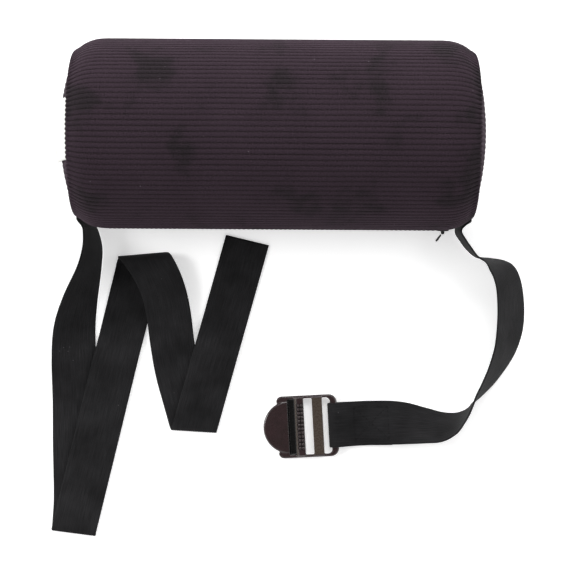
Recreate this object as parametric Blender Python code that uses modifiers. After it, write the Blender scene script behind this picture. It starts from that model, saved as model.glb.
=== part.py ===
"""Lumbar support cushion: a flat-backed foam roll in a zipped corduroy cover, with two
elastic straps and a ladder-lock buckle.

Frame: +X along the roll, +Y to its plain side, -Y to its zip side, +Z up from the flat
back that the roll lies on. The origin is the centre of that flat back. Units are metres.
"""
import math

import bmesh
import bpy
from mathutils import Matrix, Vector

# ---------------------------------------------------------------- driving dimensions
ROLL_RADIUS = 0.0635         # radius of the arch, outside of the cover
ROLL_LENGTH = 0.2656         # from one end seam to the other
BACK_DEPTH = 0.0485          # from the arch's centre line down to the flat back
BACK_FILLET = 0.014          # radius between the arch and the flat back
END_BULGE = 0.008            # how far each end panel stands past its seam
END_CURVE_RADIUS = 0.037     # profile radius with which the cover turns in at its ends
END_CURVE_LENGTH = 0.022     # length over which it turns in
BACK_DRAW_SHARE = 0.35       # share of that turning-in which the flat back takes

COVER_THICKNESS = 0.0015     # corduroy
GAP = 0.0003                 # clearance between pieces that touch
REAR_SEAM_MARGIN = 4.0       # degrees, from the seam on the +Y side down to the fillet

ZIP_ANGLE = 195.0            # degrees round the arch's centre, 15 below the -Y side
ZIP_OPENING = 0.0080         # width between the two cover edges beside the zip
ZIP_LENGTH = 0.238           # coil length
TAPE_WIDTH = 0.0090          # each half of the zip
TAPE_THICKNESS = 0.0006
COIL_RADIUS = 0.0008
COIL_SPACING = 0.0020        # between the two coils' centre lines
STOP_LENGTH = 0.0020
SLIDER_LENGTH = 0.0084
SLIDER_WIDTH = 0.0068
SLIDER_REST_X = 0.1148       # centre of the slider with the zip closed
PULLER_LENGTH = 0.0082       # from its pivot to its tip
PULLER_WIDTH = 0.0034
PULLER_THICKNESS = 0.0010
PULLER_REST_ANGLE = 55.0     # degrees from the closed zip's chain, out of the surface

LABEL_WIDTH = 0.0404
LABEL_LENGTH = 0.0270
LABEL_THICKNESS = 0.0004
LABEL_OFFSET_Y = -0.0011

STRAP_WIDTH = 0.0310
STRAP_THICKNESS = 0.0014
STRAP_COLUMNS = 4            # faces across a strap
LAYER_PITCH = 0.0019         # between centres of two strap layers that lie on each other

BUCKLE_BAR_X = 0.0429        # end bar's centre, which is also the buckle's pivot
BUCKLE_BAR_Y = -0.1979
BUCKLE_YAW = 3.5             # degrees, about +Z
BUCKLE_TILT = 3.6            # degrees, tab end down on the table
RAIL_WIDTH = 0.00205
SLOT_WIDTH = 0.0392          # opening across the strap
FRAME_THICKNESS = 0.0032
END_BAR_WIDTH = 0.0048
REAR_SLOT = 0.0055           # from the end bar to the plain bar
PLAIN_BAR_WIDTH = 0.0071
FRONT_SLOT = 0.0059
TOOTHED_BAR_WIDTH = 0.0061
GROOVE_WIDTH = 0.0052        # between the toothed bar and the thumb tab
TAB_RADIUS = 0.0184
TAB_RISE = 6.0               # degrees, the tab's slope
TAB_THICKNESS = 0.0026
TEETH_PER_ROW = 12
TOOTH_PITCH = 0.0027
TOOTH_RADIUS = 0.0011
TOOTH_HEIGHT = 0.0007
TOOTH_ROW_OFFSET = 0.00115
LOOP_CLEARANCE = 0.0006      # between the end bar and the strap's loop

# Stations of the two straps in millimetres and degrees: centre x, y, z, then the way that
# the upper edge leans (yaw) and how steeply (90 stands on edge, 0 lies flat).
LONG_STRAP_FREE_RUN = (
    (-133.3, -45.75, 17.88, 270, 57),
    (-135.9, -47.0, 17.8, 268, 59),
    (-136.8, -50.6, 17.4, 255, 66),
    (-134.6, -54.8, 16.9, 230, 76),
    (-130.4, -58.6, 16.4, 198, 80),
    (-127.0, -63.6, 15.9, 187, 77),
    (-125.3, -75.5, 15.4, 178, 71),
    (-127.6, -90.0, 14.7, 176, 64),
    (-134.0, -112.0, 12.0, 171, 46),
    (-138.0, -131.5, 8.4, 172, 29),
    (-139.0, -155.0, 4.1, 174, 12),
    (-138.6, -182.0, 1.0, 175, 1),
    (-138.2, -215.0, 0.8, 174, 0),
    (-137.4, -250.0, 0.8, 173, 0),
)
SHORT_STRAP_FREE_RUN = (
    (133.3, -45.75, 17.88, 270, 57),
    (135.8, -47.0, 17.8, 272, 59),
    (137.0, -50.8, 17.4, 282, 66),
    (134.8, -56.0, 16.9, 292, 75),
    (130.2, -59.8, 16.4, 300, 84),
    (127.6, -62.4, 16.2, 330, 88),
    (129.6, -67.0, 16.2, 60, 89),
    (134.3, -74.4, 16.2, 110, 89),
    (140.1, -80.2, 16.2, 180, 85),
    (147.2, -82.3, 15.8, 195, 76),
    (153.0, -84.6, 14.8, 196, 65),
    (157.8, -88.6, 13.5, 195, 55),
    (161.2, -94.6, 12.6, 191, 50),
    (163.4, -104.0, 12.3, 185, 48),
    (164.3, -117.0, 12.1, 180, 47),
    (163.7, -129.6, 12.3, 179, 48),
    (161.4, -141.2, 13.1, 177, 53),
    (158.0, -150.4, 13.9, 174, 58),
    (153.4, -159.4, 14.6, 170, 64),
    (148.0, -168.2, 15.2, 166, 70),
    (142.2, -176.0, 15.8, 162, 77),
    (137.9, -182.2, 16.1, 175, 84),
    (135.4, -186.8, 16.0, 222, 82),
    (131.6, -191.2, 15.7, 250, 77),
    (126.2, -195.4, 14.9, 264, 67),
    (117.2, -197.8, 13.1, 269, 54),
    (106.2, -197.1, 11.0, 272, 43),
    (94.4, -196.0, 9.6, 273, 29),
    (83.0, -195.8, 7.2, 273, 16),
    (73.0, -196.2, 4.9, 273, 8),
)
FOLD_POINTS = (              # the long strap's folds: crease centre x, y and crease yaw
    (-138.6, -274.4, 173.0),
    (-91.6, -80.4, 185.3),
    (-55.2, -202.8, 176.9),
)
LOOP_RADIUS = 0.0056         # centre line of the soft loop at the second fold
CREASE_RADIUS = 0.5 * LAYER_PITCH
LONG_STRAP_END = (-18.7, -69.4, 166.7)
ROOT_ANGLE = 213.8           # degrees round the section, where each strap is sewn in
ROOT_INSET = 0.0012
ROOT_GAP = 0.0005            # from the cover's rim to the strap's centre, along the roll
ROOT_BLEND = 6               # stations over which a strap comes up or down to its root
SEWN_LENGTH = 0.0400         # how far the short strap's end reaches back from the bar

# ---------------------------------------------------------------- derived values
HALF_LENGTH = ROLL_LENGTH / 2
FLOOR_GAP = 0.00006                             # straps stop this far above the table
BOTTOM_Z = 0.5 * STRAP_THICKNESS + FLOOR_GAP    # centre of a strap that lies on the table
ZIP_NORMAL = Vector((0.0, math.cos(math.radians(ZIP_ANGLE)), math.sin(math.radians(ZIP_ANGLE))))
ZIP_TANGENT = Vector((0.0, -ZIP_NORMAL.z, ZIP_NORMAL.y))
TAPE_DEPTH = COVER_THICKNESS + GAP              # tapes lie under the cover's edges
ARCH_CENTRE = Vector((0.0, 0.0, BACK_DEPTH))
SECTION_DROP = BACK_DEPTH - BACK_FILLET
REAR_SEAM_ANGLE = REAR_SEAM_MARGIN - math.degrees(math.asin(SECTION_DROP / (ROLL_RADIUS - BACK_FILLET)))


# ---------------------------------------------------------------- scene helpers
def clear_scene():
    for item in list(bpy.data.objects):
        bpy.data.objects.remove(item, do_unlink=True)


def new_collection(name):
    collection = bpy.data.collections.new(name)
    bpy.context.scene.collection.children.link(collection)
    return collection


def material(name, colour, roughness, metallic=0.0):
    made = bpy.data.materials.new(name)
    made.use_nodes = True
    shader = made.node_tree.nodes["Principled BSDF"]
    shader.inputs["Base Color"].default_value = (*colour, 1.0)
    shader.inputs["Roughness"].default_value = roughness
    shader.inputs["Metallic"].default_value = metallic
    return made


def add_object(name, mesh, collection, finish):
    made = bpy.data.objects.new(name, mesh)
    collection.objects.link(made)
    if finish is not None:
        made.data.materials.append(finish)
    return made


def smooth(item, degrees=35.0):
    item.data.shade_smooth()
    item.data.set_sharp_from_angle(angle=math.radians(degrees))


def bake_modifiers(item):
    """Replace an object's mesh by the one its modifiers give."""
    bpy.context.view_layer.update()
    seen = item.evaluated_get(bpy.context.evaluated_depsgraph_get())
    mesh = bpy.data.meshes.new_from_object(seen)
    item.modifiers.clear()
    item.data = mesh


def as_cutter(item):
    item.hide_render = True
    item.display_type = "WIRE"


def boolean(item, other, operation):
    modifier = item.modifiers.new(other.name, "BOOLEAN")
    modifier.object = other
    modifier.operation = operation
    modifier.solver = "EXACT"


# ---------------------------------------------------------------- the roll's surface
def end_draw(x):
    """How far the cover has turned in at x: a circular profile near each end."""
    past = max(0.0, abs(x) - (HALF_LENGTH - END_CURVE_LENGTH))
    return END_CURVE_RADIUS - math.sqrt(END_CURVE_RADIUS ** 2 - past ** 2)


def section_radius(angle, draw, inset):
    """Distance from the arch's centre line to the section's outline at an angle.

    The outline is the arch, the flat back and a fillet between them, each moved in by
    inset, and by draw where the roll turns in at its ends.
    """
    arch = ROLL_RADIUS - draw - inset
    fillet = max(BACK_FILLET - inset, 0.004)
    back = BACK_DEPTH - BACK_DRAW_SHARE * draw - inset
    drop = back - fillet
    reach = math.sqrt((arch - fillet) ** 2 - drop ** 2)
    down = -math.sin(angle)
    side = abs(math.cos(angle))
    if math.atan2(down, side) <= math.atan2(drop, reach):
        return arch
    if math.atan2(down, side) >= math.atan2(back, reach):
        return back / down
    along = side * reach + down * drop
    return along + math.sqrt(along ** 2 - reach ** 2 - drop ** 2 + fillet ** 2)


def end_slope(x):
    """Cosine of the cover's slope where it turns in at x."""
    past = max(0.0, abs(x) - (HALF_LENGTH - END_CURVE_LENGTH))
    return math.sqrt(1.0 - (past / END_CURVE_RADIUS) ** 2)


def roll_point(x, angle, inset=0.0):
    """A point at x and at an angle round the section, an inset below the cover's outside."""
    radius = section_radius(angle, end_draw(x), inset / end_slope(x))
    return Vector((x, radius * math.cos(angle), BACK_DEPTH + radius * math.sin(angle)))


def end_edge_radius(angle, inset):
    return section_radius(angle, end_draw(HALF_LENGTH), inset)


def dome_x(share, inset=0.0):
    """X of an end panel's outer face at a share of the way from its middle to its edge."""
    return HALF_LENGTH - inset + END_BULGE * (1.0 - share ** 2)


def spread_towards_ends(u):
    """Map 0..1 to x so that rows are closer where the cover turns in."""
    flat = HALF_LENGTH - END_CURVE_LENGTH
    knots = ((0.0, -HALF_LENGTH), (0.36, -flat), (0.64, flat), (1.0, HALF_LENGTH))
    for (u0, x0), (u1, x1) in zip(knots, knots[1:]):
        if u <= u1:
            return x0 + (x1 - x0) * (u - u0) / (u1 - u0)
    return HALF_LENGTH


def surface_sheet(name, collection, finish, columns, rows, place, thickness, offset=-1.0):
    """An open grid whose points a function places, made solid by its thickness."""
    work = bmesh.new()
    bmesh.ops.create_grid(work, x_segments=columns, y_segments=rows, size=0.5)
    for vertex in work.verts:
        vertex.co = place(vertex.co.x + 0.5, vertex.co.y + 0.5)
    work.normal_update()
    bmesh.ops.recalc_face_normals(work, faces=work.faces)
    middle = min(work.faces, key=lambda face: (face.calc_center_median() - Vector(place(0.5, 0.5))).length)
    outward = middle.calc_center_median() - ARCH_CENTRE
    outward.x *= 1.0 if abs(outward.x) > 0.9 * HALF_LENGTH else 0.0
    if middle.normal.dot(outward) < 0.0:
        bmesh.ops.reverse_faces(work, faces=work.faces)
    mesh = bpy.data.meshes.new(name)
    work.to_mesh(mesh)
    work.free()
    made = add_object(name, mesh, collection, finish)
    solid = made.modifiers.new("Thickness", "SOLIDIFY")
    solid.thickness = thickness
    solid.offset = offset
    solid.use_even_offset = True
    smooth(made)
    return made


def cover_panel(name, collection, finish, start, end, columns):
    """A cover panel between two angles round the section, along the whole roll."""
    def place(u, v):
        return roll_point(spread_towards_ends(v), start + (end - start) * u)
    return surface_sheet(name, collection, finish, columns, 14, place, COVER_THICKNESS)


def end_panel(name, collection, finish, side):
    """A domed end, set just inside the rim of the cover. It is one disc of rings."""
    rim_inset = COVER_THICKNESS + 2 * GAP
    work = bmesh.new()
    bmesh.ops.create_circle(work, cap_ends=True, cap_tris=True, segments=48, radius=1.0)
    bmesh.ops.subdivide_edges(
        work, edges=[e for e in work.edges if not e.is_boundary], cuts=4, use_grid_fill=True)
    bmesh.ops.triangulate(work, faces=work.faces)
    for vertex in work.verts:
        share = min(1.0, vertex.co.length)
        angle = math.atan2(vertex.co.y, vertex.co.x)
        radius = end_edge_radius(angle, rim_inset) * share
        vertex.co = Vector((side * dome_x(share), radius * math.cos(angle),
                            BACK_DEPTH + radius * math.sin(angle)))
    work.normal_update()
    bmesh.ops.recalc_face_normals(work, faces=work.faces)
    work.faces.ensure_lookup_table()
    if work.faces[0].normal.x * side < 0.0:
        bmesh.ops.reverse_faces(work, faces=work.faces)
    mesh = bpy.data.meshes.new(name)
    work.to_mesh(mesh)
    work.free()
    made = add_object(name, mesh, collection, finish)
    solid = made.modifiers.new("Thickness", "SOLIDIFY")
    solid.thickness = COVER_THICKNESS
    solid.offset = -1.0
    smooth(made)
    return made


def foam_core(collection, finish):
    """The foam: a closed ball of rings drawn out to the roll's inner shape, with a shallow
    channel where the zip tapes lie."""
    inset = COVER_THICKNESS + GAP
    channel = TAPE_THICKNESS + GAP
    channel_half_angle = math.degrees((TAPE_WIDTH + 2 * GAP) / ROLL_RADIUS) + 3.0
    dome_share = 0.26
    work = bmesh.new()
    bmesh.ops.create_uvsphere(work, u_segments=48, v_segments=22, radius=1.0)
    for vertex in work.verts:
        along = math.acos(max(-1.0, min(1.0, vertex.co.z))) / math.pi
        angle = math.atan2(vertex.co.y, vertex.co.x)
        side = 1.0 if along > 0.5 else -1.0
        from_pole = min(along, 1.0 - along)
        away = abs((math.degrees(angle) - ZIP_ANGLE + 180.0) % 360.0 - 180.0)
        local = inset + channel * min(1.0, max(0.0, channel_half_angle - away) / 3.0)
        if from_pole <= dome_share:
            share = from_pole / dome_share
            radius = end_edge_radius(angle, local + GAP) * share
            x = side * dome_x(share, COVER_THICKNESS + 2 * GAP)
            if share > 0.995:
                x = side * (HALF_LENGTH - COVER_THICKNESS - 2 * GAP)
            vertex.co = Vector((x, radius * math.cos(angle), BACK_DEPTH + radius * math.sin(angle)))
        else:
            run = (from_pole - dome_share) / (0.5 - dome_share)
            reach = HALF_LENGTH - COVER_THICKNESS - 2 * GAP
            x = side * reach * (1.0 - run ** 1.5)
            vertex.co = roll_point(x, angle, local + GAP)
    work.normal_update()
    bmesh.ops.recalc_face_normals(work, faces=work.faces)
    mesh = bpy.data.meshes.new("foam_core")
    work.to_mesh(mesh)
    work.free()
    made = add_object("foam_core", mesh, collection, finish)
    smooth(made)
    return made


def care_label(collection, finish):
    """A blank label caught in the top of the left end seam, hanging over the end panel."""
    def place(u, v):
        y = LABEL_OFFSET_Y + LABEL_WIDTH * (u - 0.5)
        rim = end_edge_radius(math.radians(90.0), COVER_THICKNESS + 2 * GAP)
        top = math.sqrt(rim ** 2 - y ** 2) - 0.0012
        z = top - LABEL_LENGTH * v
        share = min(1.0, math.hypot(y, z) / rim)
        lift = GAP + 0.0002 + 0.0030 * v ** 2
        return Vector((-dome_x(share) - lift, y, BACK_DEPTH + z))
    return surface_sheet("care_label", collection, finish, 8, 10, place, LABEL_THICKNESS, offset=1.0)


# ---------------------------------------------------------------- the zip
def zip_point(x, across, out):
    """A point given along the zip, across it and out from the cover's outer surface."""
    return (ARCH_CENTRE + Vector((x, 0.0, 0.0)) + ZIP_NORMAL * (ROLL_RADIUS + out)
            + ZIP_TANGENT * across)


def zip_matrix(x, across, out):
    """Local X across the zip, local Y out of the surface, local Z along the roll."""
    turn = Matrix((ZIP_TANGENT, ZIP_NORMAL, ZIP_TANGENT.cross(ZIP_NORMAL))).transposed()
    return Matrix.Translation(zip_point(x, across, out)) @ turn.to_4x4()


def zip_tape(name, collection, finish, side):
    """One half of the tape, under a cover edge, from the chain's middle outwards."""
    start = 0.0002
    zip_angle = math.radians(ZIP_ANGLE)

    def place(u, v):
        across = side * (start + (TAPE_WIDTH - start) * u)
        return roll_point(spread_towards_ends(v) * 0.965, zip_angle + across / ROLL_RADIUS, TAPE_DEPTH)
    return surface_sheet(name, collection, finish, 3, 14, place, TAPE_THICKNESS)


def zip_coil(name, collection, finish, side):
    """One coil of the chain, as its outer shape: a straight rod along the tape's edge."""
    curve = bpy.data.curves.new(name, "CURVE")
    curve.dimensions = "3D"
    curve.bevel_depth = COIL_RADIUS
    curve.bevel_resolution = 1
    curve.use_fill_caps = True
    spline = curve.splines.new("POLY")
    spline.points.add(1)
    out = COIL_RADIUS - COVER_THICKNESS
    for point, x in zip(spline.points, (-ZIP_LENGTH / 2, ZIP_LENGTH / 2)):
        point.co = (*zip_point(x, side * COIL_SPACING / 2, out), 1.0)
    return add_object(name, curve, collection, finish)


def rounded_block(name, collection, finish, size, matrix, bevel):
    work = bmesh.new()
    bmesh.ops.create_cube(work, size=1.0)
    bmesh.ops.scale(work, vec=size, verts=work.verts)
    mesh = bpy.data.meshes.new(name)
    work.to_mesh(mesh)
    work.free()
    made = add_object(name, mesh, collection, finish)
    made.matrix_world = matrix
    edge = made.modifiers.new("Edges", "BEVEL")
    edge.width = bevel
    edge.segments = 2
    return made


def zip_stops(collection, finish):
    """Two clamps that end the chain at its closed end, one block at its open end."""
    height = 2 * COIL_RADIUS
    centre = height / 2 - COVER_THICKNESS
    past = ZIP_LENGTH / 2 + GAP + STOP_LENGTH / 2
    size = (2 * COIL_RADIUS, height, STOP_LENGTH)
    for name, side in (("lower_zip_top_stop", 1.0), ("upper_zip_top_stop", -1.0)):
        place = zip_matrix(past, side * COIL_SPACING / 2, centre)
        rounded_block(name, collection, finish, size, place, 0.0003)
    size = (COIL_SPACING + 2 * COIL_RADIUS, height, STOP_LENGTH)
    rounded_block("zip_bottom_stop", collection, finish, size, zip_matrix(-past, 0.0, centre), 0.0003)


SLIDER_FLOOR = -TAPE_DEPTH + 0.00045            # heights out from the cover's surface
SLIDER_CHANNEL = 2 * COIL_RADIUS - COVER_THICKNESS + 0.0004
SLIDER_TOP = SLIDER_CHANNEL + 0.0010
PIVOT_OUT = SLIDER_TOP + 0.0015
PIVOT_RADIUS = 0.0005
EYE_CLEARANCE = 0.00035
EYE_RADIUS = 0.00125
EYE_WIDTH = 0.0024
POST_THICKNESS = 0.0009


def zip_slider(collection, cutters, finish):
    """A saddle over the chain with two posts and a bar that carries the puller."""
    height = SLIDER_TOP - SLIDER_FLOOR
    middle = (SLIDER_TOP + SLIDER_FLOOR) / 2
    body = rounded_block("zip_slider", collection, finish, (SLIDER_WIDTH, height, SLIDER_LENGTH),
                         zip_matrix(SLIDER_REST_X, 0.0, middle), 0.0006)
    bake_modifiers(body)
    channel_width = COIL_SPACING + 2 * COIL_RADIUS + 0.0008
    channel_height = SLIDER_CHANNEL - SLIDER_FLOOR + 0.002
    channel = rounded_block("slider_channel", cutters, None,
                            (channel_width, channel_height, 2 * SLIDER_LENGTH),
                            zip_matrix(SLIDER_REST_X, 0.0, SLIDER_CHANNEL - channel_height / 2), 0.0002)
    as_cutter(channel)
    boolean(body, channel, "DIFFERENCE")
    post_height = PIVOT_OUT - SLIDER_TOP + 0.0007 + 0.0004
    for number, side in enumerate((-1.0, 1.0)):
        across = side * (EYE_WIDTH / 2 + GAP + POST_THICKNESS / 2)
        post = rounded_block("slider_post_%d" % number, cutters, None,
                             (POST_THICKNESS, post_height, 0.0024),
                             zip_matrix(SLIDER_REST_X, across, PIVOT_OUT + 0.0007 - post_height / 2), 0.0002)
        as_cutter(post)
        boolean(body, post, "UNION")
    work = bmesh.new()
    bar_length = EYE_WIDTH + 2 * GAP + POST_THICKNESS
    bmesh.ops.create_cone(work, cap_ends=True, segments=12, radius1=PIVOT_RADIUS,
                          radius2=PIVOT_RADIUS, depth=bar_length)
    mesh = bpy.data.meshes.new("slider_bar")
    work.to_mesh(mesh)
    work.free()
    bar = add_object("slider_bar", mesh, cutters, None)
    bar.matrix_world = zip_matrix(SLIDER_REST_X, 0.0, PIVOT_OUT) @ Matrix.Rotation(math.pi / 2, 4, "Y")
    as_cutter(bar)
    boolean(body, bar, "UNION")
    smooth(body)
    return body


def plate(name, collection, finish, outline, half_thickness):
    """A flat outline, extruded both ways from its own XY plane, as a mesh."""
    curve = bpy.data.curves.new(name, "CURVE")
    curve.dimensions = "2D"
    curve.fill_mode = "BOTH"
    curve.extrude = half_thickness
    spline = curve.splines.new("POLY")
    spline.points.add(len(outline) - 1)
    for point, place in zip(spline.points, outline):
        point.co = (place[0], place[1], 0.0, 1.0)
    spline.use_cyclic_u = True
    flat = bpy.data.objects.new(name + "_outline", curve)
    collection.objects.link(flat)
    bpy.context.view_layer.update()
    seen = flat.evaluated_get(bpy.context.evaluated_depsgraph_get())
    mesh = bpy.data.meshes.new_from_object(seen)
    bpy.data.objects.remove(flat, do_unlink=True)
    work = bmesh.new()
    work.from_mesh(mesh)
    bmesh.ops.remove_doubles(work, verts=work.verts, dist=1e-6)
    work.normal_update()
    bmesh.ops.recalc_face_normals(work, faces=work.faces)
    work.to_mesh(mesh)
    work.free()
    mesh.materials.clear()
    return add_object(name, mesh, collection, finish)


def arc(centre_x, centre_y, radius, start, end, steps):
    """Points of an arc, angles in degrees."""
    angles = [math.radians(start + (end - start) * k / steps) for k in range(steps + 1)]
    return [(centre_x + radius * math.cos(a), centre_y + radius * math.sin(a)) for a in angles]


def zip_puller(collection, cutters, finish):
    """A flat tab with an eye round the slider's bar, standing out from the chain."""
    neck = EYE_RADIUS * 0.6
    tip = PULLER_WIDTH / 2
    outline = [(neck, -EYE_WIDTH / 2), (neck, EYE_WIDTH / 2), (2.2 * EYE_RADIUS, PULLER_WIDTH / 2)]
    outline += arc(PULLER_LENGTH - tip, 0.0, tip, 90.0, -90.0, 8)
    outline += [(2.2 * EYE_RADIUS, -PULLER_WIDTH / 2)]
    tab = plate("zip_puller", collection, finish, outline, PULLER_THICKNESS / 2)
    lean = math.radians(PULLER_REST_ANGLE)
    along = Vector((-math.cos(lean), 0.0, 0.0)) + ZIP_NORMAL * math.sin(lean)
    turn = Matrix((along, ZIP_TANGENT, along.cross(ZIP_TANGENT))).transposed().to_4x4()
    tab.matrix_world = Matrix.Translation(zip_point(SLIDER_REST_X, 0.0, PIVOT_OUT)) @ turn
    for name, radius, depth, operation in (
            ("puller_eye", EYE_RADIUS, EYE_WIDTH, "UNION"),
            ("puller_bore", PIVOT_RADIUS + EYE_CLEARANCE, 2 * PULLER_WIDTH, "DIFFERENCE")):
        work = bmesh.new()
        bmesh.ops.create_cone(work, cap_ends=True, segments=20, radius1=radius, radius2=radius, depth=depth)
        mesh = bpy.data.meshes.new(name)
        work.to_mesh(mesh)
        work.free()
        tool = add_object(name, mesh, cutters, None)
        tool.matrix_world = tab.matrix_world @ Matrix.Rotation(math.pi / 2, 4, "X")
        as_cutter(tool)
        boolean(tab, tool, operation)
    smooth(tab)
    return tab


# ---------------------------------------------------------------- the buckle
PLAIN_BAR_END = -END_BAR_WIDTH / 2 - REAR_SLOT          # edges along the buckle, bar at 0
PLAIN_BAR_START = PLAIN_BAR_END - PLAIN_BAR_WIDTH
TOOTHED_BAR_END = PLAIN_BAR_START - FRONT_SLOT
TOOTHED_BAR_START = TOOTHED_BAR_END - TOOTHED_BAR_WIDTH
GROOVE_START = TOOTHED_BAR_START - GROOVE_WIDTH
TAB_CENTRE = GROOVE_START + 0.0011
FRAME_END = TAB_CENTRE - 0.0088
LOOP_RADIUS_AT_BAR = END_BAR_WIDTH / 2 + LOOP_CLEARANCE + STRAP_THICKNESS / 2
BUCKLE_BAR_Z = BOTTOM_Z + LOOP_RADIUS_AT_BAR


def buckle_matrix():
    """The buckle's own frame: X towards the strap, Y across it, pivot at the origin."""
    shift = root_shift(SHORT_STRAP_FREE_RUN[0], 1.0)
    place = Matrix.Translation((BUCKLE_BAR_X + shift.x, BUCKLE_BAR_Y + shift.y, BUCKLE_BAR_Z))
    yaw = Matrix.Rotation(math.radians(BUCKLE_YAW), 4, "Z")
    tilt = Matrix.Rotation(math.radians(-BUCKLE_TILT), 4, "Y")
    return place @ yaw @ tilt


def slot_outline(start, end, radius):
    """A slot across the strap, with rounded corners at its end towards the strap."""
    half = SLOT_WIDTH / 2
    ring = [(start, -half), (start, half)]
    ring += arc(end - radius, half - radius, radius, 90.0, 0.0, 4)
    ring += arc(end - radius, -half + radius, radius, 0.0, -90.0, 4)
    return ring


def ladder_lock_buckle(collection, cutters, finish):
    half = SLOT_WIDTH / 2 + RAIL_WIDTH
    corner = 0.0058
    right = END_BAR_WIDTH / 2
    outline = arc(right - corner, half - corner, corner, 0.0, 90.0, 8)
    outline += [(FRAME_END + 0.0026, half), (FRAME_END, half - 0.0042)]
    outline += [(FRAME_END + 0.0040, half - 0.0080), (FRAME_END + 0.0040, -half + 0.0080)]
    outline += [(FRAME_END, -half + 0.0042), (FRAME_END + 0.0026, -half)]
    outline += arc(right - corner, -half + corner, corner, -90.0, 0.0, 8)
    frame = plate("ladder_lock_buckle", collection, finish, outline, FRAME_THICKNESS / 2)
    edge = frame.modifiers.new("Edges", "BEVEL")
    edge.width = 0.0005
    edge.segments = 2
    edge.limit_method = "ANGLE"
    edge.angle_limit = math.radians(50.0)
    bake_modifiers(frame)
    frame.matrix_world = buckle_matrix()

    slots = (("end_slot", slot_outline(PLAIN_BAR_END, -END_BAR_WIDTH / 2, 0.0030)),
             ("front_slot", slot_outline(TOOTHED_BAR_END, PLAIN_BAR_START, 0.0006)))
    for name, ring in slots:
        slot = plate(name, cutters, None, ring, FRAME_THICKNESS)
        slot.matrix_world = buckle_matrix()
        as_cutter(slot)
        boolean(frame, slot, "DIFFERENCE")

    def tool(name, size, centre, bevel, operation):
        made = rounded_block(name, cutters, None, size, buckle_matrix() @ Matrix.Translation(centre), bevel)
        as_cutter(made)
        boolean(frame, made, operation)

    groove_depth = 0.0020
    tool("groove", (GROOVE_WIDTH, SLOT_WIDTH, 0.004),
         (TOOTHED_BAR_START - GROOVE_WIDTH / 2, 0.0, FRAME_THICKNESS / 2 - groove_depth + 0.002),
         0.0001, "DIFFERENCE")
    raised = 0.0010
    tool("toothed_bar_top", (TOOTHED_BAR_WIDTH - 0.0004, SLOT_WIDTH + 0.0006, 0.0020),
         ((TOOTHED_BAR_START + TOOTHED_BAR_END) / 2, 0.0, FRAME_THICKNESS / 2 + raised - 0.0010),
         0.0005, "UNION")
    tool("plain_bar_top", (PLAIN_BAR_WIDTH - 0.0006, SLOT_WIDTH + 0.0006, 0.0020),
         ((PLAIN_BAR_START + PLAIN_BAR_END) / 2, 0.0, FRAME_THICKNESS / 2 + 0.0006 - 0.0010),
         0.0008, "UNION")
    teeth = buckle_teeth(cutters, FRAME_THICKNESS / 2 + raised)
    boolean(frame, teeth, "UNION")
    thumb_tab(frame, cutters)
    smooth(frame, 30.0)
    return frame


def buckle_teeth(cutters, height):
    """Two rows of small blunt teeth, half sunk in the top of the toothed bar."""
    middle = (TOOTHED_BAR_START + TOOTHED_BAR_END) / 2 + 0.0006
    work = bmesh.new()
    for shift in (-TOOTH_ROW_OFFSET, TOOTH_ROW_OFFSET):
        for number in range(TEETH_PER_ROW):
            across = (number - (TEETH_PER_ROW - 1) / 2) * TOOTH_PITCH
            place = (Matrix.Translation((middle + shift, across, height))
                     @ Matrix.Rotation(math.pi / 4, 4, "Z"))
            bmesh.ops.create_cone(work, cap_ends=True, segments=4, radius1=TOOTH_RADIUS,
                                  radius2=0.5 * TOOTH_RADIUS, depth=2 * TOOTH_HEIGHT, matrix=place)
    mesh = bpy.data.meshes.new("teeth")
    work.to_mesh(mesh)
    work.free()
    teeth = add_object("teeth", mesh, cutters, None)
    teeth.matrix_world = buckle_matrix()
    as_cutter(teeth)
    return teeth


def thumb_tab(frame, cutters):
    """The half-round tab, sloping up from the groove."""
    cut = math.degrees(math.acos((GROOVE_START - TAB_CENTRE) / TAB_RADIUS))
    outline = arc(0.0, 0.0, TAB_RADIUS, cut, 360.0 - cut, 28)
    tab = plate("thumb_tab", cutters, None, outline, TAB_THICKNESS / 2)
    edge = tab.modifiers.new("Edges", "BEVEL")
    edge.width = 0.0008
    edge.segments = 2
    edge.limit_method = "ANGLE"
    edge.angle_limit = math.radians(50.0)
    bake_modifiers(tab)
    tab.matrix_world = (buckle_matrix()
                        @ Matrix.Translation((GROOVE_START, 0.0, FRAME_THICKNESS / 2 - 0.0009))
                        @ Matrix.Rotation(math.radians(TAB_RISE), 4, "Y")
                        @ Matrix.Translation((TAB_CENTRE - GROOVE_START, 0.0, 0.0)))
    as_cutter(tab)
    boolean(frame, tab, "UNION")


# ---------------------------------------------------------------- the straps
def lean_vector(yaw, lean):
    """Unit vector from a strap's lower edge to its upper edge."""
    yaw = math.radians(yaw)
    lean = math.radians(lean)
    return Vector((math.cos(lean) * math.cos(yaw), math.cos(lean) * math.sin(yaw), math.sin(lean)))


def station(x, y, z, yaw, lean):
    return Vector((x, y, z)) * 0.001, lean_vector(yaw, lean)


def root_shift(first, side):
    """How far a strap moves from its stations, so that it starts at its end seam."""
    radius = end_edge_radius(math.radians(ROOT_ANGLE), ROOT_INSET)
    seam = Vector((side * (HALF_LENGTH + ROOT_GAP), radius * math.cos(math.radians(ROOT_ANGLE)),
                   BACK_DEPTH + radius * math.sin(math.radians(ROOT_ANGLE))))
    return seam - station(*first)[0]


def shifted_run(stations, shift):
    """The stations moved with their root along and across the roll. Only those near the
    root go up or down with it."""
    made = []
    for index, values in enumerate(stations):
        centre, across = station(*values)
        share = max(0.0, 1.0 - index / ROOT_BLEND)
        made.append((centre + Vector((shift.x, shift.y, shift.z * share)), across))
    return made


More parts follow.
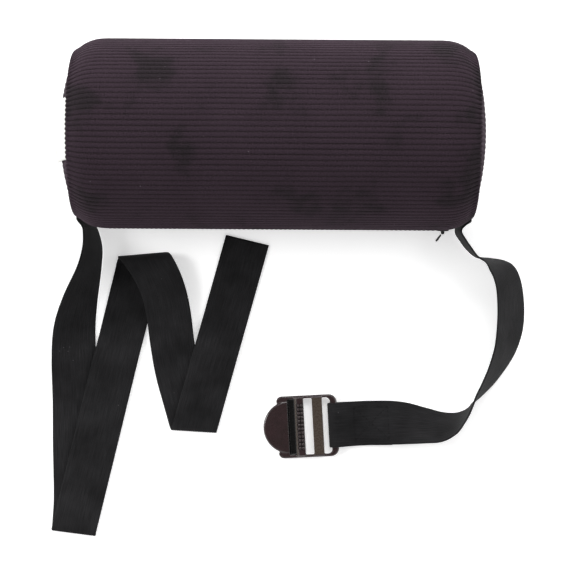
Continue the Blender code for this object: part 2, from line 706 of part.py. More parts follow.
def catmull_rom(points, pieces):
    """Points on a smooth curve through the given ones, with the given pieces between two."""
    ends = [2 * points[0] - points[1], *points, 2 * points[-1] - points[-2]]
    made = []
    for a, b, c, d in zip(ends, ends[1:], ends[2:], ends[3:]):
        for k in range(pieces):
            t = k / pieces
            made.append(0.5 * (2 * b + (c - a) * t + (2 * a - 5 * b + 4 * c - d) * t ** 2
                               + (3 * b - a - 3 * c + d) * t ** 3))
    made.append(points[-1].copy())
    return made


def smooth_run(stations, pieces):
    centres = catmull_rom([s[0] for s in stations], pieces)
    across = catmull_rom([s[1] for s in stations], pieces)
    return list(zip(centres, [a.normalized() for a in across]))


def half_turn(crease, yaw, radius, low_z, outward, drift, steps):
    """Stations round a fold: a half circle about the crease's own direction.

    The strap crosses the crease at a slant, so it also drifts along it on its way round.
    """
    along = lean_vector(yaw, 0.0)
    made = []
    for k in range(steps + 1):
        turn = -math.pi / 2 + math.pi * k / steps
        centre = (crease + outward * (radius * (math.cos(turn) - 1.0))
                  + Vector((0.0, 0.0, low_z + radius * (1.0 + math.sin(turn))))
                  + along * (drift * turn / math.pi))
        made.append((centre, along))
    return made


def height_at(share, heights):
    """Height from a list of (share, height), easing in and out between two of them."""
    for (s0, z0), (s1, z1) in zip(heights, heights[1:]):
        if share <= s1:
            ease = (share - s0) / (s1 - s0)
            ease = ease * ease * (3.0 - 2.0 * ease)
            return z0 + (z1 - z0) * ease
    return heights[-1][1]


def flat_run(start, end, shares, heights):
    """Stations of a straight run between two folds, at the given shares of its way."""
    made = []
    for t in shares:
        centre = start[0].lerp(end[0], t)
        centre.z = height_at(t, heights)
        made.append((centre, start[1].lerp(end[1], t).normalized()))
    return made


def strap_mesh(name, frames):
    """A closed band of flat sections carried along the frames.

    A section's half width is stretched where its line lies at a slant to the strap, so
    that the strap keeps its width. No section reaches below the table.
    """
    work = bmesh.new()
    rings = []
    for index, (centre, across) in enumerate(frames):
        before = frames[max(index - 1, 0)][0]
        after = frames[min(index + 1, len(frames) - 1)][0]
        tangent = (after - before).normalized()
        normal = tangent.cross(across)
        half = 0.5 * STRAP_WIDTH / normal.length
        lift = normal.normalized() * (0.5 * STRAP_THICKNESS)
        lowest = centre.z - abs(across.z) * half - abs(lift.z)
        centre = centre + Vector((0.0, 0.0, max(0.0, FLOOR_GAP - lowest)))
        line = [centre + across * (half * (2.0 * k / STRAP_COLUMNS - 1.0))
                for k in range(STRAP_COLUMNS + 1)]
        ring = [point - lift for point in line] + [point + lift for point in reversed(line)]
        rings.append([work.verts.new(point) for point in ring])
    for ring, following in zip(rings, rings[1:]):
        for k in range(len(ring)):
            other = (k + 1) % len(ring)
            work.faces.new((ring[k], ring[other], following[other], following[k]))
    work.faces.new(rings[0])
    work.faces.new(rings[-1])
    work.normal_update()
    bmesh.ops.recalc_face_normals(work, faces=work.faces)
    mesh = bpy.data.meshes.new(name)
    work.to_mesh(mesh)
    work.free()
    return mesh


def long_strap(collection, finish):
    """Out of the left end seam, on edge, falling flat, then folded three times. Each run
    lies on the one before it until it is clear of it, then on the table."""
    shift = root_shift(LONG_STRAP_FREE_RUN[0], -1.0)
    level = Vector((shift.x, shift.y, 0.0))
    folds = [(Vector((x, y, 0.0)) * 0.001 + level, yaw) for x, y, yaw in FOLD_POINTS]
    second_z = BOTTOM_Z + LAYER_PITCH
    loop_z = BOTTOM_Z + 2 * LOOP_RADIUS
    end_x, end_y, end_yaw = LONG_STRAP_END
    end = (Vector((end_x, end_y, 0.0)) * 0.001 + level + Vector((0.0, 0.0, BOTTOM_Z)),
           lean_vector(end_yaw, 0.0))
    down = Vector((0.0, -1.0, 0.0))
    first = half_turn(folds[0][0], folds[0][1], CREASE_RADIUS, BOTTOM_Z, down, 0.0, 8)
    loop = half_turn(folds[1][0], folds[1][1], LOOP_RADIUS, BOTTOM_Z, -down, -0.0050, 14)
    second = half_turn(folds[2][0], folds[2][1], CREASE_RADIUS, BOTTOM_Z, down, -0.0008, 8)
    frames = smooth_run(shifted_run(LONG_STRAP_FREE_RUN, shift) + [first[0]], 4)[:-1]
    frames += first
    frames += flat_run(first[-1], loop[0],
                       (0.18, 0.35, 0.39, 0.43, 0.47, 0.52, 0.64, 0.67, 0.70, 0.73, 0.76, 0.88),
                       ((0.0, second_z), (0.35, second_z), (0.52, second_z + 0.0010),
                        (0.64, second_z + 0.0008), (0.76, BOTTOM_Z)))
    frames += loop
    frames += flat_run(loop[-1], second[0],
                       (0.07, 0.14, 0.21, 0.28, 0.35, 0.41, 0.45, 0.49, 0.53, 0.57, 0.8),
                       ((0.0, loop_z), (0.41, second_z + 0.0020), (0.57, BOTTOM_Z)))
    frames += second
    frames += flat_run(second[-1], end, (0.12, 0.25, 0.42, 0.47, 0.52, 0.57, 0.62, 0.8),
                       ((0.0, second_z), (0.25, second_z + 0.0008), (0.42, second_z + 0.0008),
                        (0.62, BOTTOM_Z)))
    frames.append(end)
    return add_object("long_strap", strap_mesh("long_strap", frames), collection, finish)


def short_strap(collection, finish):
    """Out of the right end seam, on edge round a bend, down flat to the buckle, round its
    end bar and back under itself."""
    shift = root_shift(SHORT_STRAP_FREE_RUN[0], 1.0)
    yaw = math.radians(BUCKLE_YAW)
    back = Vector((math.cos(yaw), math.sin(yaw), 0.0))
    across = lean_vector(270.0 + BUCKLE_YAW, 0.0)
    bar = Vector((BUCKLE_BAR_X + shift.x, BUCKLE_BAR_Y + shift.y, 0.0))
    layer = STRAP_THICKNESS + GAP
    doubled_z = BOTTOM_Z + layer
    run = shifted_run(SHORT_STRAP_FREE_RUN, shift)
    for along, z, lean in ((0.0230, doubled_z + 0.0012, 3.0), (0.0155, doubled_z + 0.0008, 0.0),
                           (0.0090, doubled_z + 0.0025, 0.0)):
        centre = bar + back * along
        centre.z = z
        run.append((centre, lean_vector(270.0 + BUCKLE_YAW, lean)))
    frames = smooth_run(run, 4)
    tail = []
    for before, (centre, lean), after in zip(frames, frames[1:], frames[2:]):
        reach = (centre - bar).dot(back)
        if 0.0140 <= reach <= SEWN_LENGTH and lean.dot(across) > 0.9:
            normal = (after[0] - before[0]).cross(lean).normalized()
            under = normal * (-layer if normal.z > 0.0 else layer)
            tail.append((centre + under, lean))
    steps = 14
    for k in range(steps + 1):
        turn = math.radians(66.0 + (270.0 - 66.0) * k / steps)
        centre = bar + back * (LOOP_RADIUS_AT_BAR * math.cos(turn))
        centre.z = BUCKLE_BAR_Z + LOOP_RADIUS_AT_BAR * math.sin(turn)
        frames.append((centre, across))
    centre = bar + back * 0.0080
    centre.z = BOTTOM_Z
    frames.append((centre, across))
    frames += reversed(tail)
    return add_object("short_strap", strap_mesh("short_strap", frames), collection, finish)


# ---------------------------------------------------------------- the object
def build():
    clear_scene()
    parts = new_collection("lumbar_support_cushion")
    cutters = new_collection("cutters")
    corduroy = material("Corduroy", (0.038, 0.028, 0.034), 0.95)
    foam = material("Polyurethane foam", (0.70, 0.62, 0.42), 0.95)
    webbing = material("Elastic webbing", (0.014, 0.014, 0.014), 0.85)
    tape = material("Zip tape", (0.018, 0.016, 0.018), 0.85)
    nylon = material("Nylon coil", (0.015, 0.014, 0.015), 0.45)
    enamel = material("Enamelled zinc", (0.016, 0.015, 0.016), 0.40, 0.3)
    acetal = material("Moulded acetal", (0.042, 0.030, 0.028), 0.35)
    satin = material("Label satin", (0.85, 0.85, 0.84), 0.60)

    zip_half_angle = 0.5 * ZIP_OPENING / ROLL_RADIUS
    seam_half_angle = 0.5 * GAP / ROLL_RADIUS
    rear = math.radians(REAR_SEAM_ANGLE)
    zip_angle = math.radians(ZIP_ANGLE)
    foam_core(parts, foam)
    cover_panel("front_panel", parts, corduroy, rear + seam_half_angle, zip_angle - zip_half_angle, 40)
    cover_panel("back_panel", parts, corduroy, zip_angle + zip_half_angle,
                2 * math.pi + rear - seam_half_angle, 26)
    end_panel("left_end_panel", parts, corduroy, -1.0)
    end_panel("right_end_panel", parts, corduroy, 1.0)
    care_label(parts, satin)
    zip_tape("lower_zip_tape", parts, tape, 1.0)
    zip_tape("upper_zip_tape", parts, tape, -1.0)
    zip_coil("lower_zip_coil", parts, nylon, 1.0)
    zip_coil("upper_zip_coil", parts, nylon, -1.0)
    zip_stops(parts, enamel)
    zip_slider(parts, cutters, enamel)
    zip_puller(parts, cutters, enamel)
    ladder_lock_buckle(parts, cutters, acetal)
    long_strap(parts, webbing)
    short_strap(parts, webbing)


build()
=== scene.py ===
"""Lumbar support cushion: its looks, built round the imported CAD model.

Frame: +X along the roll, +Y to its plain side, -Y to its zip side, +Z up from the flat
back that it lies on, origin at the centre of that flat back. Units are metres.
"""
import math

import bmesh
import bpy
import numpy as np
from bpy.props import FloatProperty, IntProperty, PointerProperty, StringProperty
from mathutils import Matrix, Vector
from mathutils.bvhtree import BVHTree


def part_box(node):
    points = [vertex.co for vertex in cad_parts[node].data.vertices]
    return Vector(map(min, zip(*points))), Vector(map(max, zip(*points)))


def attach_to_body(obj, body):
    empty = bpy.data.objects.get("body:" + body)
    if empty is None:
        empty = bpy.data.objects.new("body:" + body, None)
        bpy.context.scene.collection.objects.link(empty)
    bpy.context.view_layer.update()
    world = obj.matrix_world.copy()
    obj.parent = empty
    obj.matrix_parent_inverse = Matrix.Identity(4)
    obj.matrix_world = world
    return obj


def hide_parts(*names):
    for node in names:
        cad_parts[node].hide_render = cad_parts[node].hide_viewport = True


bl_info = {
    "name": "Lumbar support cushion",
    "version": (1, 0, 0),
    "blender": (4, 5, 0),
    "location": "3D View > Sidebar > Lumbar cushion",
    "description": "Builds the corduroy, webbing, zip and buckle of a lumbar support cushion",
    "category": "Object",
}

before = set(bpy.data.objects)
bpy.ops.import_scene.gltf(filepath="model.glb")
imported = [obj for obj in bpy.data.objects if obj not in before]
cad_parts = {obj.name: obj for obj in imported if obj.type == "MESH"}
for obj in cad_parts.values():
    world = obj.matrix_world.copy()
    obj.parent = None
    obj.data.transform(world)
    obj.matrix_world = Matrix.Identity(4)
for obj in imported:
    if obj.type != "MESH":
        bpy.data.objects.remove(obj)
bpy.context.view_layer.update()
COVER_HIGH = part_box("front_panel")[1]

# The roll's section and ends, in metres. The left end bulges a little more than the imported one.
MM = 0.001
ROLL_RADIUS = float(COVER_HIGH[1])
HALF_LENGTH = float(COVER_HIGH[0])
BACK_DEPTH = 0.0485
BACK_FILLET = 0.014
END_BULGE = 0.008
LEFT_BULGE = 0.0098
END_CURVE_RADIUS = 0.034
END_CURVE_LENGTH = 0.023
BACK_DRAW_SHARE = 0.35
COVER_THICKNESS = 0.0015
ZIP_ANGLE = math.radians(195.0)
ZIP_OPENING = 0.0080
ZIP_LENGTH = 0.238
REAR_SEAM_ANGLE = math.radians(4.0) - math.asin((BACK_DEPTH - BACK_FILLET) / (ROLL_RADIUS - BACK_FILLET))
SLIDER_X = 0.1148
PULLER_LEAN = 55.0
PIVOT_OUT = 0.0030
FLOOR_GAP = 0.00006
STRAP_WIDTH = 0.0310
STRAP_THICKNESS = 0.0014
LAYER_PITCH = 0.0019
BOTTOM_Z = 0.5 * STRAP_THICKNESS + FLOOR_GAP
BUCKLE_YAW = 3.5
BUCKLE_TILT = 3.6
LOOP_RADIUS = 0.0056
LOOP_BOW = 0.0068

# The straps' stations, in millimetres and degrees: centre x, y, z, the way the upper edge
# leans, and how steeply.
LONG_STRAP_FREE_RUN = (
    (-132.9, -44.5, 18.7, 270, 57),
    (-133.8, -48.3, 17.7, 268, 62),
    (-132.7, -52.2, 17.2, 258, 70),
    (-130.9, -56.2, 16.7, 232, 78),
    (-128.4, -60.2, 16.2, 200, 80),
    (-126.5, -64.6, 15.9, 187, 77),
    (-125.3, -75.5, 15.4, 178, 71),
    (-127.6, -90.0, 14.7, 176, 64),
    (-134.0, -112.0, 12.0, 171, 46),
    (-138.0, -131.5, 8.4, 172, 29),
    (-139.0, -155.0, 4.1, 174, 12),
    (-138.6, -182.0, 1.0, 175, 1),
    (-138.2, -215.0, 0.8, 174, 0),
    (-137.4, -250.0, 0.8, 173, 0),
)
SHORT_STRAP_FREE_RUN = (
    (132.9, -44.5, 18.7, 270, 57),
    (133.8, -48.3, 17.7, 272, 62),
    (132.4, -52.6, 17.3, 280, 72),
    (129.6, -57.2, 16.9, 290, 82),
    (127.4, -60.8, 16.4, 305, 86),
    (127.3, -64.0, 16.2, 345, 88),
    (129.8, -68.2, 16.2, 60, 89),
    (134.3, -74.4, 16.2, 110, 89),
    (140.1, -80.2, 16.2, 180, 85),
    (147.2, -82.3, 15.8, 195, 76),
    (153.0, -84.6, 14.8, 196, 65),
    (157.8, -88.6, 13.5, 195, 55),
    (161.2, -94.6, 12.6, 191, 50),
    (163.4, -104.0, 12.3, 185, 48),
    (164.3, -117.0, 12.1, 180, 47),
    (163.7, -129.6, 12.3, 179, 48),
    (161.4, -141.2, 13.1, 177, 53),
    (158.0, -150.4, 13.9, 174, 58),
    (153.4, -159.4, 14.6, 170, 64),
    (148.0, -168.2, 15.2, 166, 70),
    (142.2, -176.0, 15.8, 162, 77),
    (137.9, -182.2, 16.1, 175, 84),
    (135.4, -186.8, 16.0, 222, 82),
    (131.6, -191.2, 15.7, 250, 77),
    (126.2, -195.4, 14.9, 264, 67),
    (117.2, -197.8, 13.1, 269, 54),
    (106.2, -197.1, 11.0, 272, 43),
    (94.4, -196.0, 9.6, 273, 29),
    (83.0, -195.8, 7.2, 273, 16),
    (73.0, -196.2, 4.9, 273, 8),
)
FOLDS = ((-138.6, -274.4, 173.0), (-91.6, -80.4, 185.3), (-55.2, -202.8, 176.9))
LONG_STRAP_END = (-18.7, -69.4, 166.7)
BUCKLE_BAR = np.array([0.0429, -0.1979, 0.00446])
# the width of table that the camera sees from its height
TABLE_IN_VIEW = 0.4021


# ------------------------------------------------------------------ settings
def metres(name, description, default, low, high):
    """A setting that is a length, in metres."""
    return FloatProperty(name=name, description=description, default=default, min=low, max=high,
                         subtype="DISTANCE", unit="LENGTH")


def swatch(name, place, default):
    """A setting that is an sRGB hex colour."""
    return StringProperty(name=name, description="sRGB hex colour of " + place, default=default)


class LumbarRollSettings(bpy.types.PropertyGroup):
    wale_pitch: metres("Wale pitch", "Distance from one cord of the corduroy to the next", 0.0036, 0.002,
                       0.008)
    wale_depth: metres("Wale depth", "Height of a cord above the valley beside it", 0.00062, 0.0, 0.0015)
    seam_radius: metres("Seam radius", "Radius with which the cloth turns into a seam", 0.0014, 0.0005, 0.003)
    swell_limit: metres("Swell limit", "How far the filling may push the cover out or in", 0.0016, 0.0, 0.004)
    pile_colour: swatch("Pile colour", "the cords", "3c3039")
    # the valley colour is painted shade between the cords
    valley_shade_colour: swatch("Valley colour", "the cloth between the cords", "272024")


class LumbarStrapSettings(bpy.types.PropertyGroup):
    rib_count: IntProperty(name="Ribs", description="Warp ribs across the webbing", default=19, min=4, max=40)
    rib_height: metres("Rib height", "Height of one warp rib", 0.00010, 0.0, 0.0004)
    yarn_colour: swatch("Yarn colour", "the webbing", "323133")
    thread_colour: swatch("Thread colour", "the stitching", "1d1c1d")


class LumbarHardwareSettings(bpy.types.PropertyGroup):
    coil_pitch: metres("Coil pitch", "Distance between two teeth of the zip", 0.0014, 0.001, 0.003)
    buckle_colour: swatch("Buckle colour", "the buckle", "2f2022")
    metal_colour: swatch("Slider colour", "the zip's slider", "1c1b1d")


class LumbarStageSettings(bpy.types.PropertyGroup):
    camera_height: metres("Camera height", "Height of the camera above the table", 1.2, 0.5, 4.0)
    floor_colour: swatch("Floor colour", "the table", "f4f4f4")


# ------------------------------------------------------------------ materials
def linear(hex_colour):
    """Linear RGBA from an sRGB hex colour: each part over 12.92 where dark, else a power of 2.4."""
    parts = [int(hex_colour[k:k + 2], 16) / 255.0 for k in (0, 2, 4)]
    return (*[p / 12.92 if p <= 0.04045 else ((p + 0.055) / 1.055) ** 2.4 for p in parts], 1.0)


def add_node(tree, kind, inputs=None, **settings):
    """Adds a node, sets what settings name and fills or links the inputs."""
    made = tree.nodes.new(kind)
    for key, value in settings.items():
        setattr(made, key, value)
    for key, value in (inputs or {}).items():
        if isinstance(value, bpy.types.NodeSocket):
            tree.links.new(value, made.inputs[key])
        else:
            made.inputs[key].default_value = value
    return made


def new_material(name, **sockets):
    """A material with one Principled shader, whose plain sockets are set directly."""
    made = bpy.data.materials.new(name)
    made.use_nodes = True
    tree = made.node_tree
    tree.nodes.clear()
    shader = add_node(tree, "ShaderNodeBsdfPrincipled", {k.replace("_", " "): v for k, v in sockets.items()})
    add_node(tree, "ShaderNodeOutputMaterial", {"Surface": shader.outputs["BSDF"]})
    return made, tree, shader


def dress(tree, shader, tint, relief=None, strength=0.0, distance=0.0):
    """Links a colour to the shader, and a bump of that distance where there is a relief."""
    tree.links.new(tint, shader.inputs["Base Color"])
    if relief is not None:
        bump = add_node(tree, "ShaderNodeBump",
                        {"Height": relief, "Strength": strength, "Distance": distance})
        tree.links.new(bump.outputs["Normal"], shader.inputs["Normal"])


def object_place(tree):
    """The shaded point, in the piece's own coordinates."""
    return add_node(tree, "ShaderNodeTexCoord").outputs["Object"]


def cloth_place(tree):
    """The cloth attribute - along, across and up the cloth - whole and taken apart."""
    vector = add_node(tree, "ShaderNodeAttribute", attribute_name="cloth").outputs["Vector"]
    return vector, add_node(tree, "ShaderNodeSeparateXYZ", {"Vector": vector}).outputs


def stretched(tree, vector, scale):
    """The vector with its three values each multiplied."""
    return add_node(tree, "ShaderNodeMapping", {"Vector": vector, "Scale": scale}).outputs["Vector"]


def ramp(tree, factor, *stops):
    """A colour ramp through (position, colour) stops; a colour is sRGB hex or linear RGBA."""
    made = add_node(tree, "ShaderNodeValToRGB", {"Fac": factor})
    elements = made.color_ramp.elements
    while len(elements) < len(stops):
        elements.new(0.5)
    for element, (position, tint) in zip(elements, stops):
        element.position = position
        element.color = linear(tint) if isinstance(tint, str) else tint
    return made.outputs["Color"]


def mix(tree, factor, first, second, blend="MIX"):
    """Two colours mixed by a factor, each given as a socket or a value."""
    made = add_node(tree, "ShaderNodeMix", data_type="RGBA", blend_type=blend)
    for socket, value in ((made.inputs[0], factor), (made.inputs[6], first), (made.inputs[7], second)):
        if isinstance(value, bpy.types.NodeSocket):
            tree.links.new(value, socket)
        else:
            socket.default_value = value
    return made.outputs[2]


def shaded(tree, tint, *ramped):
    """A colour multiplied by a ramp."""
    return mix(tree, 1.0, tint, ramp(tree, *ramped), "MULTIPLY")


def maths(tree, operation, first, second=0.0, third=0.5):
    """One sum of the shader: the operation on two or three values."""
    return add_node(tree, "ShaderNodeMath", {0: first, 1: second, 2: third}, operation=operation).outputs[0]


def wave(tree, value, pitch):
    """A sine from -1 to 1 that repeats at each pitch of the value."""
    return maths(tree, "SINE", maths(tree, "MULTIPLY", value, 2 * math.pi / pitch))


def noise(tree, vector, scale, detail=3.0, roughness=0.5):
    """Cloudy noise from 0 to 1, about scale clouds to the unit."""
    return add_node(tree, "ShaderNodeTexNoise", {"Vector": vector, "Scale": scale, "Detail": detail,
                                                 "Roughness": roughness}).outputs["Fac"]


def lint(tree, place, specks, size, patches, detail, least):
    """1 on rare specks, else 0: the middles of small cells, kept where a slow noise is high."""
    cells = add_node(tree, "ShaderNodeTexVoronoi", {"Vector": place, "Scale": specks}, feature="F1")
    middles = maths(tree, "LESS_THAN", cells.outputs["Distance"], size)
    return maths(tree, "MULTIPLY", middles,
                 maths(tree, "GREATER_THAN", noise(tree, place, patches, detail), least))


def brushed_corduroy(settings):
    """Cotton corduroy, cut pile brushed up: soft round cords, valleys darkened by painted shade,
    a faint bloom at grazing angles, and patches where the pile has been stroked the other
    way, painted darker as a sheen difference."""
    made, tree, shader = new_material("Brushed cotton corduroy", Roughness=0.92, Sheen_Weight=0.22,
                                      Sheen_Roughness=0.45, Sheen_Tint=linear("7d6877"),
                                      Specular_IOR_Level=0.08)
    place = object_place(tree)
    cloth, axes = cloth_place(tree)
    # tufts are 0.5 mm long and 0.3 mm across; they are drawn twice as coarse, so that they show
    tufts = noise(tree, stretched(tree, cloth, (950.0, 1600.0, 0.0)), 1.0, 3.0, 0.65)
    ragged = maths(tree, "ADD", axes["Z"], maths(tree, "MULTIPLY", maths(tree, "SUBTRACT", tufts, 0.5), 1.3))
    # the valleys take a darker colour as painted shade between the cords
    pile = ramp(tree, ragged, (0.0, settings.valley_shade_colour), (0.45, "33292f"), (0.95, settings.pile_colour))
    # random patches of pile stroked the other way, painted darker and greener as a sheen difference
    stroked_sheen = shaded(tree, pile, noise(tree, place, 20.0, 4.0, 0.6), (0.38, "c4d2c6"), (0.46, "f0f0f0"),
                     (0.70, "ffffff"))
    flecked = shaded(tree, stroked_sheen, tufts, (0.30, "a4a4a4"), (0.75, "ffffff"))
    specks = lint(tree, place, 260.0, 0.07, 90.0, 0.0, 0.69)
    dress(tree, shader, mix(tree, specks, flecked, linear("645c63")), tufts, 0.8, 0.0003)
    return made


def elastic_webbing(settings):
    """Woven elastic tape in matt polyester and rubber: lengthwise ribs, a fine cross weave,
    hardly any shine, and a little lint."""
    made, tree, shader = new_material("Woven elastic webbing", Roughness=0.85, Sheen_Weight=0.05,
                                      Sheen_Roughness=0.5, Specular_IOR_Level=0.10)
    cloth, axes = cloth_place(tree)
    place = object_place(tree)
    # cross picks 0.9 mm apart and warp yarns 0.54 mm apart, each over and under in turn
    weave = maths(tree, "MULTIPLY", wave(tree, axes["X"], 0.0009), wave(tree, axes["Y"], 0.00108))
    raised = maths(tree, "MULTIPLY_ADD", weave, 0.5)
    base = ramp(tree, raised, (0.0, "1a1a1b"), (1.0, settings.yarn_colour))
    base = shaded(tree, base, noise(tree, place, 45.0, 3.0), (0.3, "b4b4b4"), (0.7, "ffffff"))
    # single warp ends 0.5 mm apart catch more or less light along the whole band
    ends = noise(tree, stretched(tree, cloth, (70.0, 1900.0, 0.0)), 1.0, 2.0)
    base = shaded(tree, base, ends, (0.3, "b8b8b8"), (0.7, "ffffff"))
    specks = maths(tree, "MULTIPLY", lint(tree, place, 330.0, 0.10, 70.0, 2.0, 0.66), 0.6)
    fuzz = maths(tree, "MULTIPLY", noise(tree, place, 1500.0, 2.0), 0.5)
    dress(tree, shader, mix(tree, specks, base, linear("5a585a")), maths(tree, "ADD", raised, fuzz), 0.6,
          0.00010)
    return made


def moulded_acetal(settings):
    """Acetal, injection moulded in a lightly sparked tool: dark, semi-gloss, with a fine
    grain and soft bright edges."""
    made, tree, shader = new_material("Moulded acetal", Roughness=0.30, IOR=1.48, Coat_Weight=0.40,
                                      Coat_Roughness=0.16)
    place = object_place(tree)
    base = ramp(tree, noise(tree, place, 120.0, 4.0, 0.6), (0.25, "241919"), (0.75, settings.buckle_colour))
    # the strap has rubbed the plain bar paler, the ridge is painted paler as a highlight, and painted shade
    # darkens the deep groove
    region = cloth_place(tree)[1]
    # paler plain bar from wear, and paler ridge as a painted highlight
    base = mix(tree, region["Y"], base, linear("3f362f"))
    # painted shade in the groove and between the teeth
    base = mix(tree, region["X"], base, linear("040303"))
    scuffs = noise(tree, place, 700.0, 5.0, 0.65)
    gloss = add_node(tree, "ShaderNodeMapRange", {"Value": scuffs, "From Min": 0.3, "From Max": 0.7,
                                                  "To Min": 0.20, "To Max": 0.36})
    tree.links.new(gloss.outputs["Result"], shader.inputs["Roughness"])
    dress(tree, shader, base, noise(tree, place, 2600.0, 2.0), 0.25, 0.00004)
    return made


def enamelled_zinc(settings):
    """Die-cast zinc under stoving enamel: smooth, dark, with rubbed paler spots."""
    made, tree, shader = new_material("Enamelled die-cast zinc", Metallic=0.35, Roughness=0.30)
    rubbed = noise(tree, object_place(tree), 420.0, 4.0, 0.7)
    dress(tree, shader, ramp(tree, rubbed, (0.0, settings.metal_colour), (0.66, settings.metal_colour),
                             (0.80, "4a484a")), rubbed, 0.2, 0.00005)
    return made


def extruded_nylon():
    """Nylon monofilament, wound into the zip's coils: smooth, with a soft shine."""
    made, tree, shader = new_material("Extruded nylon", Roughness=0.38, IOR=1.53)
    dress(tree, shader, ramp(tree, noise(tree, object_place(tree), 300.0), (0.3, "1d1a1d"), (0.7, "29252a")))
    return made


def twilled_tape():
    """Polyester zip tape, woven in a fine twill of about 0.6 mm: its wave runs at a slant."""
    made, tree, shader = new_material("Twilled polyester tape", Roughness=0.86)
    axes = cloth_place(tree)[1]
    twill = wave(tree, maths(tree, "ADD", axes["X"], axes["Y"]), 0.0006)
    dress(tree, shader, ramp(tree, maths(tree, "MULTIPLY_ADD", twill, 0.5), (0.0, "171417"), (1.0, "2b262b")),
          twill, 0.5, 0.00008)
    return made


def woven_satin():
    """Satin ribbon with cut and sealed edges: white, fine lengthwise floats, a soft shine."""
    made, tree, shader = new_material("Woven satin ribbon", Roughness=0.48, Sheen_Weight=0.2)
    floats = wave(tree, cloth_place(tree)[1]["Y"], 0.0007)
    dress(tree, shader,
          ramp(tree, maths(tree, "MULTIPLY_ADD", floats, 0.5), (0.0, "b9b9b5"), (1.0, "dededa")),
          floats, 0.35, 0.00006)
    return made


def spun_thread(settings):
    """Twisted polyester sewing thread: dark, with a slight twist seen in its sheen."""
    made, tree, shader = new_material("Spun polyester thread", Roughness=0.75, Specular_IOR_Level=0.12)
    dress(tree, shader, ramp(tree, noise(tree, object_place(tree), 2400.0), (0.3, "0d0c0d"),
                             (0.7, settings.thread_colour)))
    return made


def slabstock_foam():
    """Open-cell polyurethane foam, seen only where the cover parts: pale, pitted by its cells."""
    made, tree, shader = new_material("Slabstock polyurethane foam", Roughness=0.95)
    cells = add_node(tree, "ShaderNodeTexVoronoi",
                     {"Vector": object_place(tree), "Scale": 900.0}).outputs["Distance"]
    dress(tree, shader, ramp(tree, cells, (0.0, "a58f5a"), (0.7, "e0cd97")), cells, 0.7, 0.0004)
    return made


def white_laminate(settings):
    """The table's matt white laminate, which gives off a little light of its own."""
    made, tree, shader = new_material("Matt white laminate", Roughness=0.9,
                                      Emission_Color=(1.0, 1.0, 1.0, 1.0), Emission_Strength=0.45)
    dress(tree, shader, ramp(tree, noise(tree, object_place(tree), 8.0), (0.3, settings.floor_colour),
                             (0.7, "f6f6f6")))
    return made


# ------------------------------------------------------------------ meshes
def vectors(*values):
    """Arrays stretched to one shape and set side by side along a last axis."""
    return np.stack(np.broadcast_arrays(*values), axis=-1)


def grid_faces(rows, columns, wrap_rows, wrap_columns, start):
    """Corner numbers of a grid's quads, row by row, joined round where it wraps."""
    r = np.arange(rows if wrap_rows else rows - 1)[:, None]
    c = np.arange(columns if wrap_columns else columns - 1)[None, :]
    r_next = (r + 1) % rows
    c_next = (c + 1) % columns
    quads = vectors(r * columns + c, r * columns + c_next,
                                         r_next * columns + c_next, r_next * columns + c)
    return quads.reshape(-1, 4) + start


def surface(name, shells, finish, merge=False, outward=None):
    """One object from grids of points. A shell is (points, wrap_rows, wrap_columns, capped)
    and may end with values for the cloth attribute. Closed shells are turned to face out."""
    points, faces, cloth = [], [], []
    start = 0
    for shell in shells:
        grid, wrap_rows, wrap_columns, capped = shell[:4]
        rows, columns = grid.shape[:2]
        points.append(grid.reshape(-1, 3))
        faces.extend(grid_faces(rows, columns, wrap_rows, wrap_columns, start).tolist())
        if capped:
            faces.append((np.arange(columns)[::-1] + start).tolist())
            faces.append((np.arange(columns) + start + (rows - 1) * columns).tolist())
        cloth.append(shell[4].reshape(-1, 3) if len(shell) > 4 else np.zeros((rows * columns, 3)))
        start += rows * columns
    mesh = bpy.data.meshes.new(name)
    mesh.from_pydata(np.concatenate(points).tolist(), [], faces)
    values = mesh.attributes.new("cloth", "FLOAT_VECTOR", "POINT")
    values.data.foreach_set("vector", np.concatenate(cloth).astype(np.float32).ravel())
    work = bmesh.new()
    work.from_mesh(mesh)
    if merge:
        bmesh.ops.remove_doubles(work, verts=work.verts, dist=1e-6)
        bmesh.ops.dissolve_degenerate(work, edges=work.edges, dist=1e-7)
    if outward is None:
        bmesh.ops.recalc_face_normals(work, faces=work.faces)
    else:
        work.normal_update()
        middle = Vector(outward)
        facing = sum(f.normal.dot(f.calc_center_median() - middle) for f in work.faces)
        if facing < 0.0:
            bmesh.ops.reverse_faces(work, faces=work.faces)
    work.to_mesh(mesh)
    work.free()
    mesh.shade_smooth()
    made = bpy.data.objects.new(name, mesh)
    bpy.context.scene.collection.objects.link(made)
    made.data.materials.append(finish)
    return made


def thicken(piece, thickness):
    """A wall of that thickness under an open surface."""
    wall = piece.modifiers.new("Wall", "SOLIDIFY")
    wall.thickness = thickness
    wall.offset = -1.0


def tubes(paths, radius, sides, flatten=1.0):
    """Tubes of a radius round many paths at once: a circle carried along each path, square
    to it. paths is (tubes, points, 3)."""
    ahead = np.gradient(paths, axis=1)
    ahead /= np.linalg.norm(ahead, axis=2, keepdims=True)
    helper = np.where(np.abs(ahead[..., :1]) < 0.8, np.array([1.0, 0.0, 0.0]), np.array([0.0, 0.0, 1.0]))
    side = np.cross(ahead, helper)
    side /= np.linalg.norm(side, axis=2, keepdims=True)
    up = np.cross(ahead, side)
    turn = np.linspace(0.0, 2 * math.pi, sides, endpoint=False)
    ring = (side[:, :, None] * np.cos(turn)[None, None, :, None]
            + up[:, :, None] * (flatten * np.sin(turn))[None, None, :, None])
    return paths[:, :, None] + ring * np.asarray(radius).reshape(-1, 1, 1, 1)


def distances(line):
    """How far along a line of points each of them lies."""
    return np.concatenate(([0.0], np.cumsum(np.linalg.norm(np.diff(line, axis=0), axis=1))))


def between(at, along, rows):
    """Rows of three values, read between the places along that they belong to."""
    return np.stack([np.interp(at, along, rows[:, k]) for k in range(3)], axis=-1)


